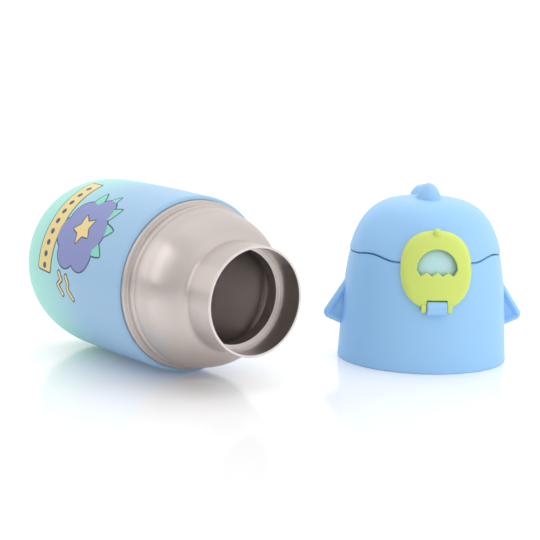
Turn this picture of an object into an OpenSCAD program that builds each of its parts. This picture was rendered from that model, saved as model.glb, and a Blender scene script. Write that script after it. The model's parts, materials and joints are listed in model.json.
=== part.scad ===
// Kids water bottle: a vacuum bottle lying on its side, and its flip lid standing beside it.
// Millimetres, +Z up, z = 0 is the surface that both stand on.
// The bottle is drawn upright about its own axis, with z = 0 at the front edge of its shell,
// and is then laid along +X. The lid is drawn upright with its front towards -Y, then turned.

/* [Bottle body] */
// Length of the printed shell, from its flat base to its front edge
body_len = 101.2; // [85:0.1:130]
// Largest radius of the shell
body_r = 44.5; // [40:0.1:54]
// How much the shell swells between its base and its front edge
belly = 0.4; // [0:0.1:1]
// Radius of the flat ring that the bottle stands on
base_flat_r = 33.3; // [28:0.1:38]
// Length of the rounding between the flat base and the side
base_corner_len = 30; // [15:1:40]
// Wall of the printed shell
shell_wall = 2; // [1.5:0.1:3]
// Width of the lip that holds the base cover
base_lip = 5.3; // [4:0.1:7]

/* [Steel flask] */
// Sheet thickness of the outer steel wall
steel_t = 0.65; // [0.5:0.05:1]
// Sheet thickness of the inner liner
liner_t = 0.6; // [0.4:0.05:0.65]
// Vacuum space between the two steel walls
vacuum_gap = 2.2; // [1.5:0.1:3]
// Length of the rolled bead in front of the shell
bead_len = 2; // [1:0.1:3]
// Depth of the groove behind the bead
groove_depth = 2.4; // [1.5:0.1:2.6]
// Width of the groove
groove_len = 2.6; // [2.4:0.1:4]
// Depth of the raised ridge, from the bead
ridge_depth = 1.8; // [1:0.1:2]
// Width of the ridge
ridge_len = 2.7; // [2:0.1:4]
// Depth of the shoulder's start, from the bead
step_depth = 2.7; // [2.5:0.1:4]
// Length of the domed shoulder
dome_len = 24.3; // [18:0.1:32]
// Angle that the dome turns through before the neck
dome_turn = 69; // [60:1:75]
// Outer radius of the neck
neck_r = 26.7; // [24:0.1:29]
// Length of the neck above the dome
neck_len = 20.2; // [17:0.1:25]
// Inner radius of the mouth
mouth_bore_r = 25.4; // [22:0.1:25.6]
// Depth of the sealing ledge below the lip
ledge_depth = 15.5; // [10:0.1:18]
// Width of the sealing ledge
ledge_w = 2.25; // [1.5:0.05:4]

/* [Lid] */
// How far the lid's rim stands inside the shell's front edge
lid_rim_step = 0.4; // [0:0.1:1]
// Wall of the collar and of the flip cap
lid_wall = 2.4; // [1.8:0.1:3]
// Height of the flip cap above the side of the split line
cap_h = 27.6; // [24:0.1:34]
// How far the cap stands proud of the collar
cap_proud = 0.6; // [0:0.1:1]
// How much the side leans in for each millimetre of height
lid_taper = 0.0506; // [0:0.001:0.08]
// Squareness of the dome, along its height
dome_power_z = 4.47; // [3:0.01:6]
// Squareness of the dome, across its width
dome_power_r = 3.3; // [2:0.1:4]
// Gap between the cap and the collar
split_gap = 0.7; // [0.3:0.1:1]
// Drop of the split line beside the latch
wave_low = 1; // [0:0.1:2]
// Rise of the split line further round
wave_high = 1.4; // [0:0.1:2]
// Direction of the lowest point of the split line, from the front
wave_low_angle = 32; // [28:1:36]
// Direction of the highest point of the split line, from the front
wave_high_angle = 55; // [48:1:65]
// Half width of the cap's arch over the button
arch_half_w = 17; // [14:0.1:18]
// Height of that arch
arch_h = 11; // [10.5:0.1:14]

/* [Seat on the bottle] */
// Radial clearance of the lid's skirt over the steel ridge
skirt_clear = 0.4; // [0.2:0.1:1]
// Height of the thick skirt
skirt_h = 7.5; // [6:0.1:12]
// Gap between the mouth's lip and the plug's flange
lip_gap = 0.3; // [0.1:0.1:1]
// Thickness of the plug's flange
flange_t = 2.4; // [2:0.1:3]
// Thickness of the collar's shelf
shelf_t = 2; // [1.5:0.1:3]
// Radial clearance of the plug in the mouth
plug_clear = 0.5; // [0.3:0.1:1]
// Wall of the plug
plug_wall = 2.9; // [2.5:0.1:3.5]
// How much the silicone seal is squeezed in the mouth
seal_squeeze = 0.3; // [0:0.1:0.6]
// Height of the seal
seal_h = 3.2; // [2:0.1:5]

/* [Spout] */
// Inner radius of the drinking spout
spout_bore_r = 6.2; // [5:0.1:8]
// Wall of the spout
spout_wall = 2.4; // [2:0.1:3]
// Height of the spout above the plug
spout_h = 13; // [11:0.1:14]
// Distance of the spout in front of the lid's axis
spout_offset = 12; // [10:0.1:13]
// Thickness of the stopper's sealing disc
stopper_t = 2.5; // [2:0.1:3]
// How far the stopper reaches into the spout
stopper_reach = 3.8; // [2:0.1:5]

/* [Cap hinge] */
// Radius of the hinge knuckles
knuckle_r = 3; // [2.6:0.1:3.6]
// Radius of the steel hinge pin
hinge_pin_r = 1.25; // [1:0.05:1.5]
// Distance of the pin behind the cap's surface
hinge_out = 1.9; // [1.6:0.1:2.4]
// Width of each knuckle
knuckle_w = 5.8; // [5:0.1:7]
// Half width of the space for the torsion spring
spring_half_w = 3.2; // [2.8:0.1:4]

/* [Latch and button] */
// Half width of the egg-shaped latch
latch_half_w = 17.9; // [15:0.1:19]
// Half height of the latch
latch_half_h = 19.2; // [17:0.1:21]
// Distance of the latch's centre below the split line's sides
latch_drop = 3.8; // [3:0.1:5]
// Squareness of the egg outline
egg_power = 2.4; // [2:0.1:3]
// Gap between the latch and the collar
latch_gap = 0.95; // [0.9:0.05:1.5]
// Reach of the latch's outer face from the collar
latch_out = 3.4; // [3:0.1:5]
// Radius of the small nub on top of the latch
nub_r = 2; // [1.5:0.1:2.5]
// Radius of the latch's knuckle
latch_knuckle_r = 3.6; // [2.8:0.1:4]
// Half width of the collar's knuckle for the latch
latch_knuckle_half_w = 4.95; // [4:0.05:6]
// Radius of the latch's two feet
foot_r = 2.3; // [2:0.1:2.6]
// Width of each foot
foot_w = 2.5; // [2:0.1:4]
// Radius of the latch pin
latch_pin_r = 0.9; // [0.7:0.05:1.1]
// Half width of the window in the latch
window_half_w = 10.3; // [9:0.1:11]
// Height of the window's arch above its widest line
window_arch_h = 10.3; // [9:0.1:11]
// Depth of the window below its widest line
window_foot = 2.9; // [2:0.1:4]
// Height of the teeth along the window's bottom
tooth_h = 2; // [1:0.1:2.5]
// How far the button reaches past the window all round
button_over = 0.5; // [0.3:0.1:0.8]
// Gap round the button in its hole
button_gap = 0.35; // [0.2:0.05:0.6]
// Travel of the button
button_travel = 2; // [1.5:0.1:2.2]
// Play between the hook and the cap's catch
catch_play = 0.8; // [0.6:0.1:1.2]

/* [Fins and crest] */
// How far a fin's tip stands out from the lid's rim
fin_out = 8.1; // [5:0.1:12]
// Height of the fin's upper root
fin_top_z = 42; // [36:0.1:44]
// Height of the fin's lower root
fin_low_z = 14.6; // [12:0.1:20]
// Height of the centre of the fin's tip
fin_tip_z = 23.2; // [20:0.1:28]
// Thickness of a fin, whose edges are fully round
fin_t = 7; // [4:0.1:10]
// Height of the front spike above the cap
spike_h = 7.6; // [5:0.1:10]
// Radius of a spike at its base
spike_r = 6.6; // [4:0.1:7]
// Radius of a spike at its tip
spike_tip_r = 3.8; // [2:0.1:4.5]
// Distance of the front spike in front of the lid's axis
spike_front = 5; // [0:0.1:10]
// Distance of the rear spike behind the lid's axis
spike_back = 14; // [10:0.1:18]
// How much shorter the rear spike is
spike_fall = 3; // [0:0.1:5]

/* [Placing] */
// Distance of the lid's axis in front of the shell's front edge
lid_ahead = 27.3; // [0:0.1:60]
// Distance between the bottle's axis and the lid's axis
lid_aside = 125.65; // [105:0.05:180]
// Turn of the lid about its own axis
lid_turn = 57.8; // [0:0.1:90]

/* [Hidden] */
$fn = 96;

// Colours
lid_blue = "#A3CEF5";
shell_blue = "#A8CFEA";
steel = "#BFB5B0";
white_plastic = "#F2F2EE";
silicone = "#E4EEF0";
lime = "#D3E682";
teal = "#B5DDE4";
wire = "#A0A0A4";
copper = "#C98B5E";

// Clearances and edges that more than one piece uses
weld_gap = 0.05;
fit_gap = 0.1;
pin_clear = 0.05;
turn_clear = 0.35;
side_clear = 0.3;
edge = 0.4;
bite = 0.2;
far = 200;

// Bottle: radii from the outside in
rim_r = body_r - belly;
shell_in = shell_wall + fit_gap;
steel_r = rim_r - shell_in;
liner_in = shell_in + steel_t + vacuum_gap;
corner_steps = 14;
dome_steps = 12;
sheet_back = 1;
liner_back = 6;
liner_dish = 1.2;
plate_dish = 0.5;
getter_r = 6;
getter_h = 1;
foil_t = 0.2;
foil_back = 8;
pad_r = 23;
pad_w = 6;
pad_bed = 0.8;
cover_sink = 0.5;

// Bottle: stations along its axis, from the front edge of the shell
groove_s = bead_len + edge;
ridge_s = groove_s + groove_len;
dome_s = ridge_s + ridge_len + edge / 2;
neck_s = dome_s + dome_len;
mouth_s = neck_s + neck_len;
ledge_s = mouth_s - ledge_depth;
lip_t = 0.8;

// Bottle: radii of the bead, groove, ridge and dome
groove_r = steel_r - groove_depth;
ridge_r = steel_r - ridge_depth;
step_r = steel_r - step_depth;
neck_blend = 1.6;
neck_lead = 2.2;
dome_a = (step_r - neck_r - neck_blend) / (1 - cos(dome_turn));
dome_b = dome_len / sin(dome_turn);
ledge_r = mouth_bore_r - ledge_w;
throat_r = ledge_r + liner_t;
liner_dome_r = step_r - steel_t - vacuum_gap;
liner_dome_b = dome_b - steel_t - vacuum_gap;
liner_turn = acos(1 - (liner_dome_r - throat_r) / dome_a);

// Lid: heights above its rim. Seated, the rim rests on the bead's front face.
lid_base_r = rim_r - lid_rim_step;
split_over = 1;
mouth_z = mouth_s - bead_len;
flange_z = mouth_z + lip_gap;
shelf_z = flange_z + flange_t;
shelf_top = shelf_z + shelf_t;
split_z = shelf_top + split_over;
lid_h = split_z + cap_h;
lid_steps = 26;
split_r = (lid_base_r - lid_taper * split_z)
    * pow(1 - pow(split_z / lid_h, dome_power_z), 1 / dome_power_r);
skirt_r = ridge_r + skirt_clear;
lug_w = 10;

// Lid: plug, seal and spout
seal_t = 2.2;
seal_lip = 0.5;
plug_lift = 1.2;
flange_over = 3.1;
shelf_under = 0.9;
spout_foot = 1.6;
spout_foot_t = 1.4;
vent_y = spout_offset + 2;
vent_r = 1.5;
vent_head_r = 4;
vent_hang = 2.2;
vent_rise = 1.2;
ledge_z = mouth_z - ledge_depth;
plug_r = mouth_bore_r - plug_clear;
plug_bore_r = plug_r - plug_wall;
plug_foot_r = mouth_bore_r + seal_squeeze - seal_t;
plug_foot_z = ledge_z + plug_lift;
seal_top = ledge_z + seal_h;
flange_r = plug_r + flange_over;
shelf_in_r = plug_r - shelf_under;
spout_r = spout_bore_r + spout_wall;
spout_top = shelf_z + spout_h;

// Cap: stopper and liner
stopper_clear = 0.6;
stopper_z = spout_top + side_clear;
stopper_top = stopper_z + stopper_t;
stopper_r = spout_bore_r - stopper_clear;
stopper_lead = 1.4;
stem_r = 4;
socket_wall = 3;
liner_lift = 2.2;
liner_plate_z = stopper_top + liner_lift;
liner_plate_t = 1.6;
liner_skirt_r = 26;
liner_skirt_t = 1.5;
cap_in = lid_wall - cap_proud;

// Hinge of the cap, behind the lid
hinge_y = split_r + cap_proud + hinge_out;
cap_knuckle_x = spring_half_w + side_clear;
collar_knuckle_x = cap_knuckle_x + knuckle_w + side_clear;
knuckle_end_x = collar_knuckle_x + knuckle_w;
room_bite = 0.15;
cap_wire = 0.6;
web_y = sqrt(pow(split_r - lid_wall, 2) - pow(knuckle_end_x, 2)) + bite;

// Latch, window and button
latch_z = split_z - latch_drop;
latch_low = latch_z - latch_half_h;
pin_rise = 0.6;
pin_out = 1.5;
latch_axis_z = latch_low + pin_rise;
latch_axis_y = -(lid_r(latch_axis_z, 0) + pin_out);
notch_clear = 0.6;
notch_top = latch_axis_z + latch_knuckle_r + notch_clear;
foot_x = latch_knuckle_half_w + side_clear;
nub_sink = 0.4;
nub_z = latch_z + latch_half_h - notch_clear;
window_rise = 0.2;
window_z = latch_z + window_rise;
button_half_w = window_half_w + button_over;
button_low = window_z - window_foot - button_over;
button_top = window_z + window_arch_h + button_over;
button_z = (button_low + button_top) / 2;
tab_top = split_z - wave_low + arch_h;
flange_half_w = 8;
flange_over_top = 1.2;
flange_under = 1;
button_back_t = 1.2;
button_face_in = 0.15;
// The back plate of the button stays behind the collar's wall at its highest corner.
plate_top = button_top + flange_over_top;
plate_y = -sqrt(pow(lid_r(plate_top, lid_wall), 2) - pow(flange_half_w, 2)) + side_clear;
spring_room = 1.6;
box_y = plate_y + button_back_t + button_travel + spring_room;
box_wall = 1.2;
box_over = 2.2;
spring_r = 2.2;
spring_wire = 0.5;
spring_seat = 1.3;
spring_seat_y = plate_y - spring_seat;
// The cap's catch lies above the collar's tab, and the hook reaches over it.
catch_clear = 0.45;
catch_z = tab_top + catch_clear;
catch_t = 1.4;
catch_half_w = 4;
catch_wall_y = -lid_r(catch_z + catch_t, cap_in);
hook_half_w = 2.5;
hook_clear = 0.45;
hook_t = 1.4;
hook_top = catch_z + catch_t + catch_clear + hook_t;
hook_tip_y = max(plate_y + button_back_t - bite,
    hook_clear - sqrt(pow(lid_r(hook_top, cap_in), 2) - pow(hook_half_w, 2)));
hook_back_y = max(plate_y + button_back_t, hook_tip_y) + button_back_t;
catch_y = hook_tip_y - catch_play;

// Crest: how deep its balls sit in the cap
spike_sink = 4;

// Placing: the origin is under the middle of the whole set
mid_x = (lid_ahead + lid_base_r - body_len) / 2;
mid_y = (lid_aside + lid_base_r - body_r) / 2;

// Radius of the lid's form at height z, drawn in by inset on the side and the top.
function lid_r(z, inset) = (lid_base_r - inset - lid_taper * z)
    * pow(max(0, 1 - pow(max(0, z) / (lid_h - inset), dome_power_z)), 1 / dome_power_r);

// Half profile of the lid's form, from its rim to its top.
function lid_points(inset) = [
    for (i = [0 : lid_steps])
        let (z = (lid_h - inset) * sin(90 * i / lid_steps)) [lid_r(z, inset), z]
];

// Rounded corner of the base, drawn in by inset.
function corner_points(inset) = [
    for (i = [0 : corner_steps])
        let (a = 90 * i / corner_steps)
            [base_flat_r - inset + (rim_r - base_flat_r) * sin(a),
             -body_len + inset + base_corner_len * (1 - cos(a))]
];

// Swelling side of the shell, from the end of the corner to the front rounding.
function belly_points(front) = [
    for (i = [1 : 10])
        let (s = -body_len + base_corner_len + (body_len - base_corner_len - front) * i / 10)
            [rim_r + belly * sin(18 * i), s]
];

// Quarter round from a side of radius r to a face at station s.
function round_points(r, s, size) = [
    for (i = [0 : 5]) [r - size + size * cos(18 * i), s - size + size * sin(18 * i)]
];

// Dome of the shoulder: r0 is its radius at the start and b its half length.
function dome_points(r0, b, turn) = [
    for (i = [0 : dome_steps])
        let (a = turn * i / dome_steps) [r0 - dome_a * (1 - cos(a)), dome_s + b * sin(a)]
];

// Hollow blend from the dome's end to the neck, tangent to both.
function blend_points(drop) =
    let (rise = neck_blend * dome_b * cos(dome_turn) / (dome_a * sin(dome_turn)))
    let (p0 = [neck_r + neck_blend - drop, neck_s], p1 = [neck_r - drop, neck_s + rise])
    let (p2 = [neck_r - drop, neck_s + rise + neck_lead])
    [for (i = [1 : 6]) let (t = i / 6) (1 - t) * (1 - t) * p0 + 2 * t * (1 - t) * p1 + t * t * p2];

function reversed(list) = [for (i = [len(list) - 1 : -1 : 0]) list[i]];

// Height of the split line at distance x from the lid's middle, seen from the front.
function split_at(x) =
    let (w = abs(x), low_x = split_r * sin(wave_low_angle), high_x = split_r * sin(wave_high_angle))
    w < arch_half_w ? split_z - wave_low + arch_h * sqrt(1 - pow(w / arch_half_w, 2)) :
    w < low_x ? split_z - wave_low :
    w < high_x ? split_z - wave_low
        + (wave_high + wave_low) * (1 - cos(180 * (w - low_x) / (high_x - low_x))) / 2 :
    w < split_r ? split_z + wave_high * (1 + cos(180 * (w - high_x) / (split_r - high_x))) / 2 :
    split_z;

function split_x() = concat(
    [-far],
    [for (i = [-24 : -1]) arch_half_w + (split_r - arch_half_w) * -i / 24] * -1,
    [for (i = [-16 : 16]) arch_half_w * sin(90 * i / 16)],
    [for (i = [1 : 24]) arch_half_w + (split_r - arch_half_w) * i / 24],
    [far]
);

// Egg outline of the latch.
function egg_points() = [
    for (i = [0 : 59])
        let (a = 6 * i)
            [latch_half_w * sign(cos(a)) * pow(abs(cos(a)), 2 / egg_power),
             latch_z + latch_half_h * sign(sin(a)) * pow(abs(sin(a)), 2 / egg_power)]
];

// Arch of the window and the button, grown by g.
function arch_points(g) = [
    for (i = [0 : 20])
        [(window_half_w + g) * cos(9 * i), window_z + (window_arch_h + g) * sin(9 * i)]
];

function window_bottom() = [
    for (i = [-3 : 3])
        [i * (window_half_w - 2) / 3, window_z - window_foot + (abs(i) % 2 == 0 ? tooth_h : 0)]
];

function button_bottom(g) = [
    [-(window_half_w + g - 2.4), window_z - window_foot - g],
    [window_half_w + g - 2.4, window_z - window_foot - g]
];

// Round wire wound into a coil about z, as one closed skin.
module coil(r, wire_d, turns, length) {
    sides = 6;
    steps = round(turns * 14);
    points = [
        for (i = [0 : steps], j = [0 : sides - 1])
            let (a = 360 * turns * i / steps, b = 360 * j / sides, q = r + wire_d / 2 * cos(b))
                [q * cos(a), q * sin(a), length * i / steps + wire_d / 2 * sin(b)]
    ];
    skin = [
        for (i = [0 : steps - 1], j = [0 : sides - 1])
            let (k = (j + 1) % sides, m = i * sides) [m + j, m + sides + j, m + sides + k, m + k]
    ];
    first = [for (j = [0 : sides - 1]) j];
    last = [for (j = [sides - 1 : -1 : 0]) steps * sides + j];
    polyhedron(points, concat(skin, [first, last]), convexity = 10);
}

module ring(outer, inner, h) {
    difference() {
        cylinder(r = outer, h = h);
        translate([0, 0, -1]) cylinder(r = inner, h = h + 2);
    }
}

// Lays the bottle along +X at its height, with its mouth forward.
module lay_bottle() {
    translate([-mid_x, -mid_y, body_r]) rotate([0, 90, 0]) children();
}

// Stands the lid beside the bottle, turned about its axis.
module place_lid() {
    translate([lid_ahead - mid_x, lid_aside - mid_y, 0]) rotate([0, 0, lid_turn]) children();
}

// Pushes a flat outline in x and z out to the front, from y = -start.
module to_front(start, depth) {
    translate([0, -start, 0]) rotate([90, 0, 0]) linear_extrude(depth) children();
}

// Rod along x about an axis at (y, z), between two x values.
module rod_x(r, x0, x1, y, z) {
    translate([x0, y, z]) rotate([0, 90, 0]) cylinder(r = r, h = x1 - x0);
}

module lid_form(inset) {
    rotate_extrude() polygon(concat([[0, 0]], lid_points(inset)));
}

// Everything under the split line, moved by shift.
module under_split(shift) {
    to_front(0, far) polygon(concat(
        [for (x = split_x()) [x, split_at(x) + shift]], [[far, -far], [-far, -far]]
    ));
    translate([-far, 0, -far]) cube([2 * far, far, far + split_z + shift]);
}

// ---- Bottle ----

module body_shell() {
    front = shell_wall - fit_gap;
    inner = concat([[rim_r - shell_wall, 0]], reversed(corner_points(shell_wall)));
    color(shell_blue) lay_bottle() rotate_extrude() polygon(concat(
        corner_points(0), belly_points(front), round_points(rim_r, 0, front), inner,
        [[base_flat_r - base_lip, -body_len + shell_wall], [base_flat_r - base_lip, -body_len]]
    ));
}

module steel_wall() {
    outer = concat(
        corner_points(shell_in), round_points(steel_r, bead_len, edge),
        [[groove_r, groove_s], [groove_r, ridge_s], [ridge_r, ridge_s + edge],
         [ridge_r, dome_s - edge]],
        dome_points(step_r, dome_b, dome_turn), blend_points(0), [[neck_r, mouth_s - lip_t]]
    );
    inner = concat(
        [[neck_r - steel_t, mouth_s - lip_t]], reversed(blend_points(steel_t)),
        reversed(dome_points(step_r - steel_t, dome_b - steel_t, dome_turn)),
        [[groove_r - steel_t, ridge_s], [groove_r - steel_t, groove_s - edge],
         [steel_r - steel_t, -sheet_back]],
        reversed(corner_points(shell_in + steel_t))
    );
    color(steel) lay_bottle() rotate_extrude() polygon(concat(outer, inner));
}

// Inner wall from the lip down, with the sealing ledge under the mouth.
module inner_liner() {
    tube_r = mouth_bore_r + liner_t;
    outer = concat(
        corner_points(liner_in), [[rim_r - liner_in, -liner_back], [liner_dome_r, bead_len]],
        dome_points(liner_dome_r, liner_dome_b, liner_turn),
        [[throat_r, ledge_s - liner_t], [tube_r, ledge_s - liner_t], [tube_r, mouth_s - lip_t],
         [neck_r, mouth_s - lip_t]],
        round_points(neck_r, mouth_s, edge)
    );
    inner = concat(
        [[mouth_bore_r + edge / 2, mouth_s], [mouth_bore_r, mouth_s - edge / 2],
         [mouth_bore_r, ledge_s], [ledge_r, ledge_s]],
        reversed(dome_points(liner_dome_r - liner_t, liner_dome_b - liner_t, liner_turn)),
        [[liner_dome_r - liner_t, bead_len], [rim_r - liner_in - liner_t, -liner_back]],
        reversed(corner_points(liner_in + liner_t))
    );
    color(steel) lay_bottle() rotate_extrude() polygon(concat(outer, inner));
}

// Disc that closes one of the steel walls, with a raised middle.
module end_disc(r, s, t, rise) {
    mid = r / 3;
    lay_bottle() rotate_extrude() polygon([
        [0, s + rise], [mid, s + rise], [mid + 2 * rise, s], [r, s], [r, s + t],
        [mid + 2 * rise, s + t], [mid, s + t + rise], [0, s + t + rise]
    ]);
}

module liner_base() {
    color(steel) end_disc(base_flat_r - liner_in - liner_t - weld_gap, -body_len + liner_in,
        liner_t, liner_dish);
}

module base_plate() {
    color(steel) end_disc(base_flat_r - shell_in - steel_t - weld_gap, -body_len + shell_in,
        steel_t, plate_dish);
}

// Pill that keeps the vacuum, on the inner face of the base plate.
module vacuum_getter() {
    color(wire) lay_bottle() translate([0, 0, -body_len + shell_in + steel_t + plate_dish])
        cylinder(r = getter_r, h = getter_h);
}

module reflective_foil() {
    foil_low = -body_len + liner_in + base_corner_len;
    foil_len = body_len - liner_in - base_corner_len - foil_back;
    foil_r = rim_r - liner_in + weld_gap;
    color(copper) lay_bottle() translate([0, 0, foil_low]) ring(foil_r + foil_t, foil_r, foil_len);
}

module base_cover() {
    cover_r = base_flat_r - base_lip - fit_gap;
    color(shell_blue) lay_bottle() translate([0, 0, -body_len]) difference() {
        translate([0, 0, cover_sink]) cylinder(r = cover_r, h = shell_wall - cover_sink);
        translate([0, 0, -1]) ring(pad_r + weld_gap, pad_r - pad_w - weld_gap,
            1 + cover_sink + pad_bed);
    }
}

module base_pad() {
    color(silicone) lay_bottle() translate([0, 0, -body_len])
        ring(pad_r, pad_r - pad_w, cover_sink + pad_bed);
}

// ---- Lid ----

module collar_hollow() {
    upper = [for (i = [0 : 20]) let (z = skirt_h + 2 + (lid_h - lid_wall - skirt_h - 2) * i / 20)
        [lid_r(z, lid_wall), z]];
    rotate_extrude() polygon(concat(
        [[0, -1], [skirt_r, -1], [skirt_r, skirt_h]], upper, [[0, lid_h - lid_wall]]
    ));
}

// Two blocks of the cap's hinge, one on each side. The web points up or down from the pin.
module hinge_blocks(x0, x1, up) {
    for (side = [0, 1]) mirror([side, 0, 0]) {
        rod_x(knuckle_r, x0, x1, hinge_y, split_z);
        translate([x0, web_y, split_z + (up ? split_gap / 2 : -knuckle_r)])
            cube([x1 - x0, hinge_y - web_y, knuckle_r - (up ? split_gap / 2 : 0)]);
    }
}

// Room round the other piece's hinge blocks.
module hinge_room(x0, x1) {
    for (side = [0, 1]) mirror([side, 0, 0])
        rod_x(knuckle_r + turn_clear, x0, x1, hinge_y, split_z);
}

// Snap lugs inside the skirt, which click into the groove behind the ridge.
module snap_lugs() {
    lug_r = groove_r + bite;
    intersection() {
        translate([0, 0, edge]) ring(skirt_r + edge, lug_r, groove_len - 2 * edge);
        for (a = [0 : 90 : 270]) rotate([0, 0, a + 45])
            translate([0, -lug_w / 2, 0]) cube([far, lug_w, far]);
    }
}

// Box behind the button, with a back wall for its spring.
module button_box() {
    half = flange_half_w + box_over;
    translate([-half, box_y, shelf_z]) cube([2 * half, box_wall, plate_top - shelf_z]);
}

module lid_collar() {
    rim = [[lid_base_r - 1, -1], [lid_base_r + 1, -1], [lid_base_r + 1, 1], [lid_base_r, 1],
        [lid_base_r - 0.3, 0.3], [lid_base_r - 1, 0]];
    room_w = 2 * (button_half_w + flange_under);
    color(lid_blue) place_lid() difference() {
        union() {
            difference() {
                intersection() {
                    lid_form(0);
                    under_split(-split_gap / 2);
                }
                collar_hollow();
                rotate_extrude() polygon(rim);
                hinge_room(-1, collar_knuckle_x - room_bite);
            }
            difference() {
                translate([0, 0, shelf_z]) ring(lid_r(shelf_top, 1), shelf_in_r, shelf_t);
                translate([-room_w / 2, -far, shelf_z - 1])
                    cube([room_w, far + box_y, shelf_t + 2]);
            }
            button_box();
            hinge_blocks(collar_knuckle_x, knuckle_end_x, false);
            snap_lugs();
            rod_x(latch_knuckle_r, -latch_knuckle_half_w, latch_knuckle_half_w,
                latch_axis_y, latch_axis_z);
            translate([-latch_knuckle_half_w, latch_axis_y, latch_axis_z - latch_knuckle_r])
                cube([2 * latch_knuckle_half_w, -latch_axis_y - lid_r(latch_axis_z, lid_wall / 2),
                    2 * latch_knuckle_r]);
        }
        rod_x(hinge_pin_r + pin_clear, -far, far, hinge_y, split_z);
        rod_x(latch_pin_r + pin_clear, -far, far, latch_axis_y, latch_axis_z);
        for (side = [0, 1]) mirror([side, 0, 0])
            rod_x(foot_r + turn_clear, latch_knuckle_half_w, foot_x + foot_w + turn_clear,
                latch_axis_y, latch_axis_z);
        to_front(lid_r(split_z, 0) - 9, far)
            polygon(concat(arch_points(button_over + button_gap),
                button_bottom(button_over + button_gap)));
    }
}

// Cup that reaches into the neck and carries the spout, the vent and the seal.
module inner_plug() {
    color(white_plastic) place_lid() difference() {
        rotate_extrude() polygon([
            [0, shelf_z], [0, flange_z], [plug_bore_r, flange_z], [plug_bore_r, plug_foot_z],
            [plug_foot_r, plug_foot_z], [plug_foot_r, seal_top], [plug_r, seal_top],
            [plug_r, flange_z], [flange_r, flange_z], [flange_r, shelf_z]
        ]);
        translate([0, -spout_offset, 0]) cylinder(r = spout_bore_r, h = far);
        translate([0, vent_y, 0]) cylinder(r = vent_r + weld_gap, h = far);
    }
}

module neck_seal() {
    seal_r = mouth_bore_r + seal_squeeze;
    color(silicone) place_lid() rotate_extrude() polygon(concat(
        [[plug_foot_r + weld_gap, ledge_z]],
        [for (i = [0 : 4]) [seal_r - (i % 2 == 0 ? seal_lip : 0), ledge_z + seal_lip * i]],
        [[seal_r - seal_lip, seal_top - weld_gap], [plug_foot_r + weld_gap, seal_top - weld_gap]]
    ));
}

module drinking_spout() {
    foot = spout_r + spout_foot;
    color(white_plastic) place_lid() translate([0, -spout_offset, 0]) rotate_extrude() polygon(concat(
        [[spout_bore_r, shelf_z], [foot, shelf_z], [foot, shelf_z + spout_foot_t],
         [spout_r, shelf_z + 2 * spout_foot_t]],
        round_points(spout_r, spout_top, spout_wall / 2),
        [[spout_bore_r + edge, spout_top], [spout_bore_r, spout_top - edge]]
    ));
}

module vent_valve() {
    color(silicone) place_lid() translate([0, vent_y, 0]) rotate_extrude() polygon([
        [0, flange_z - vent_hang], [vent_r - edge, flange_z - vent_hang],
        [vent_r + edge, flange_z - weld_gap], [vent_r, flange_z - weld_gap],
        [vent_r, shelf_z + weld_gap], [vent_head_r, shelf_z + weld_gap],
        [vent_head_r - edge, shelf_z + vent_rise - edge], [0, shelf_z + vent_rise]
    ]);
}

// Soft triangular fin, spanned between three balls and standing on the collar's side.
module fin() {
    half = fin_t / 2;
    color(lid_blue) difference() {
        hull() {
            for (place = [[lid_r(fin_top_z, half), fin_top_z - half / 2],
                    [lid_base_r + fin_out - half, fin_tip_z], [lid_base_r - fin_t, fin_low_z + half]])
                translate([place[0], 0, place[1]]) sphere(r = half, $fn = 36);
        }
        lid_form(0);
    }
}

module fin_left() {
    place_lid() mirror([1, 0, 0]) fin();
}

module fin_right() {
    place_lid() fin();
}

module hinge_pin() {
    color(wire) place_lid() rod_x(hinge_pin_r, -knuckle_end_x, knuckle_end_x, hinge_y, split_z);
}

// Torsion spring between the cap's knuckles.
module cap_spring() {
    color(wire) place_lid() translate([-spring_half_w + cap_wire, hinge_y, split_z])
        rotate([0, 90, 0])
            coil(hinge_pin_r + cap_wire + pin_clear * 3, cap_wire, 5, 2 * (spring_half_w - cap_wire));
}

module latch_pin() {
    end_x = foot_x + foot_w;
    color(wire) place_lid() rod_x(latch_pin_r, -end_x, end_x, latch_axis_y, latch_axis_z);
}

module button_spring() {
    free_len = box_y - spring_seat_y - spring_wire;
    color(wire) place_lid() translate([0, spring_seat_y + spring_wire / 2, button_z])
        rotate([-90, 0, 0]) coil(spring_r - spring_wire / 2, spring_wire, 4, free_len);
}

// ---- Flip cap ----

module flip_cap() {
    color(lid_blue) place_lid() difference() {
        union() {
            difference() {
                lid_form(-cap_proud);
                under_split(split_gap / 2);
                lid_form(cap_in);
                hinge_room(collar_knuckle_x - room_bite, knuckle_end_x + side_clear);
                rod_x(knuckle_r + turn_clear, -cap_knuckle_x, cap_knuckle_x, hinge_y, split_z);
            }
            hinge_blocks(cap_knuckle_x, cap_knuckle_x + knuckle_w, true);
            translate([-catch_half_w, catch_wall_y - edge, catch_z])
                cube([2 * catch_half_w, catch_y - catch_wall_y + edge, catch_t]);
        }
        rod_x(hinge_pin_r + pin_clear, -far, far, hinge_y, split_z);
    }
}

// White inner plate of the cap, with a socket for the stopper's stem.
module cap_liner() {
    plate_r = lid_r(liner_plate_z + liner_plate_t, cap_in) - room_bite;
    skirt_z = spout_top + 2 * side_clear;
    color(white_plastic) place_lid() difference() {
        union() {
            translate([0, 0, liner_plate_z]) cylinder(r = plate_r, h = liner_plate_t);
            translate([0, 0, skirt_z])
                ring(liner_skirt_r, liner_skirt_r - liner_skirt_t, liner_plate_z - skirt_z);
            translate([0, -spout_offset, stopper_top + weld_gap])
                cylinder(r = stem_r + socket_wall, h = liner_plate_z - stopper_top);
        }
        translate([0, -spout_offset, 0]) cylinder(r = stem_r + weld_gap, h = far);
    }
}

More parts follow.
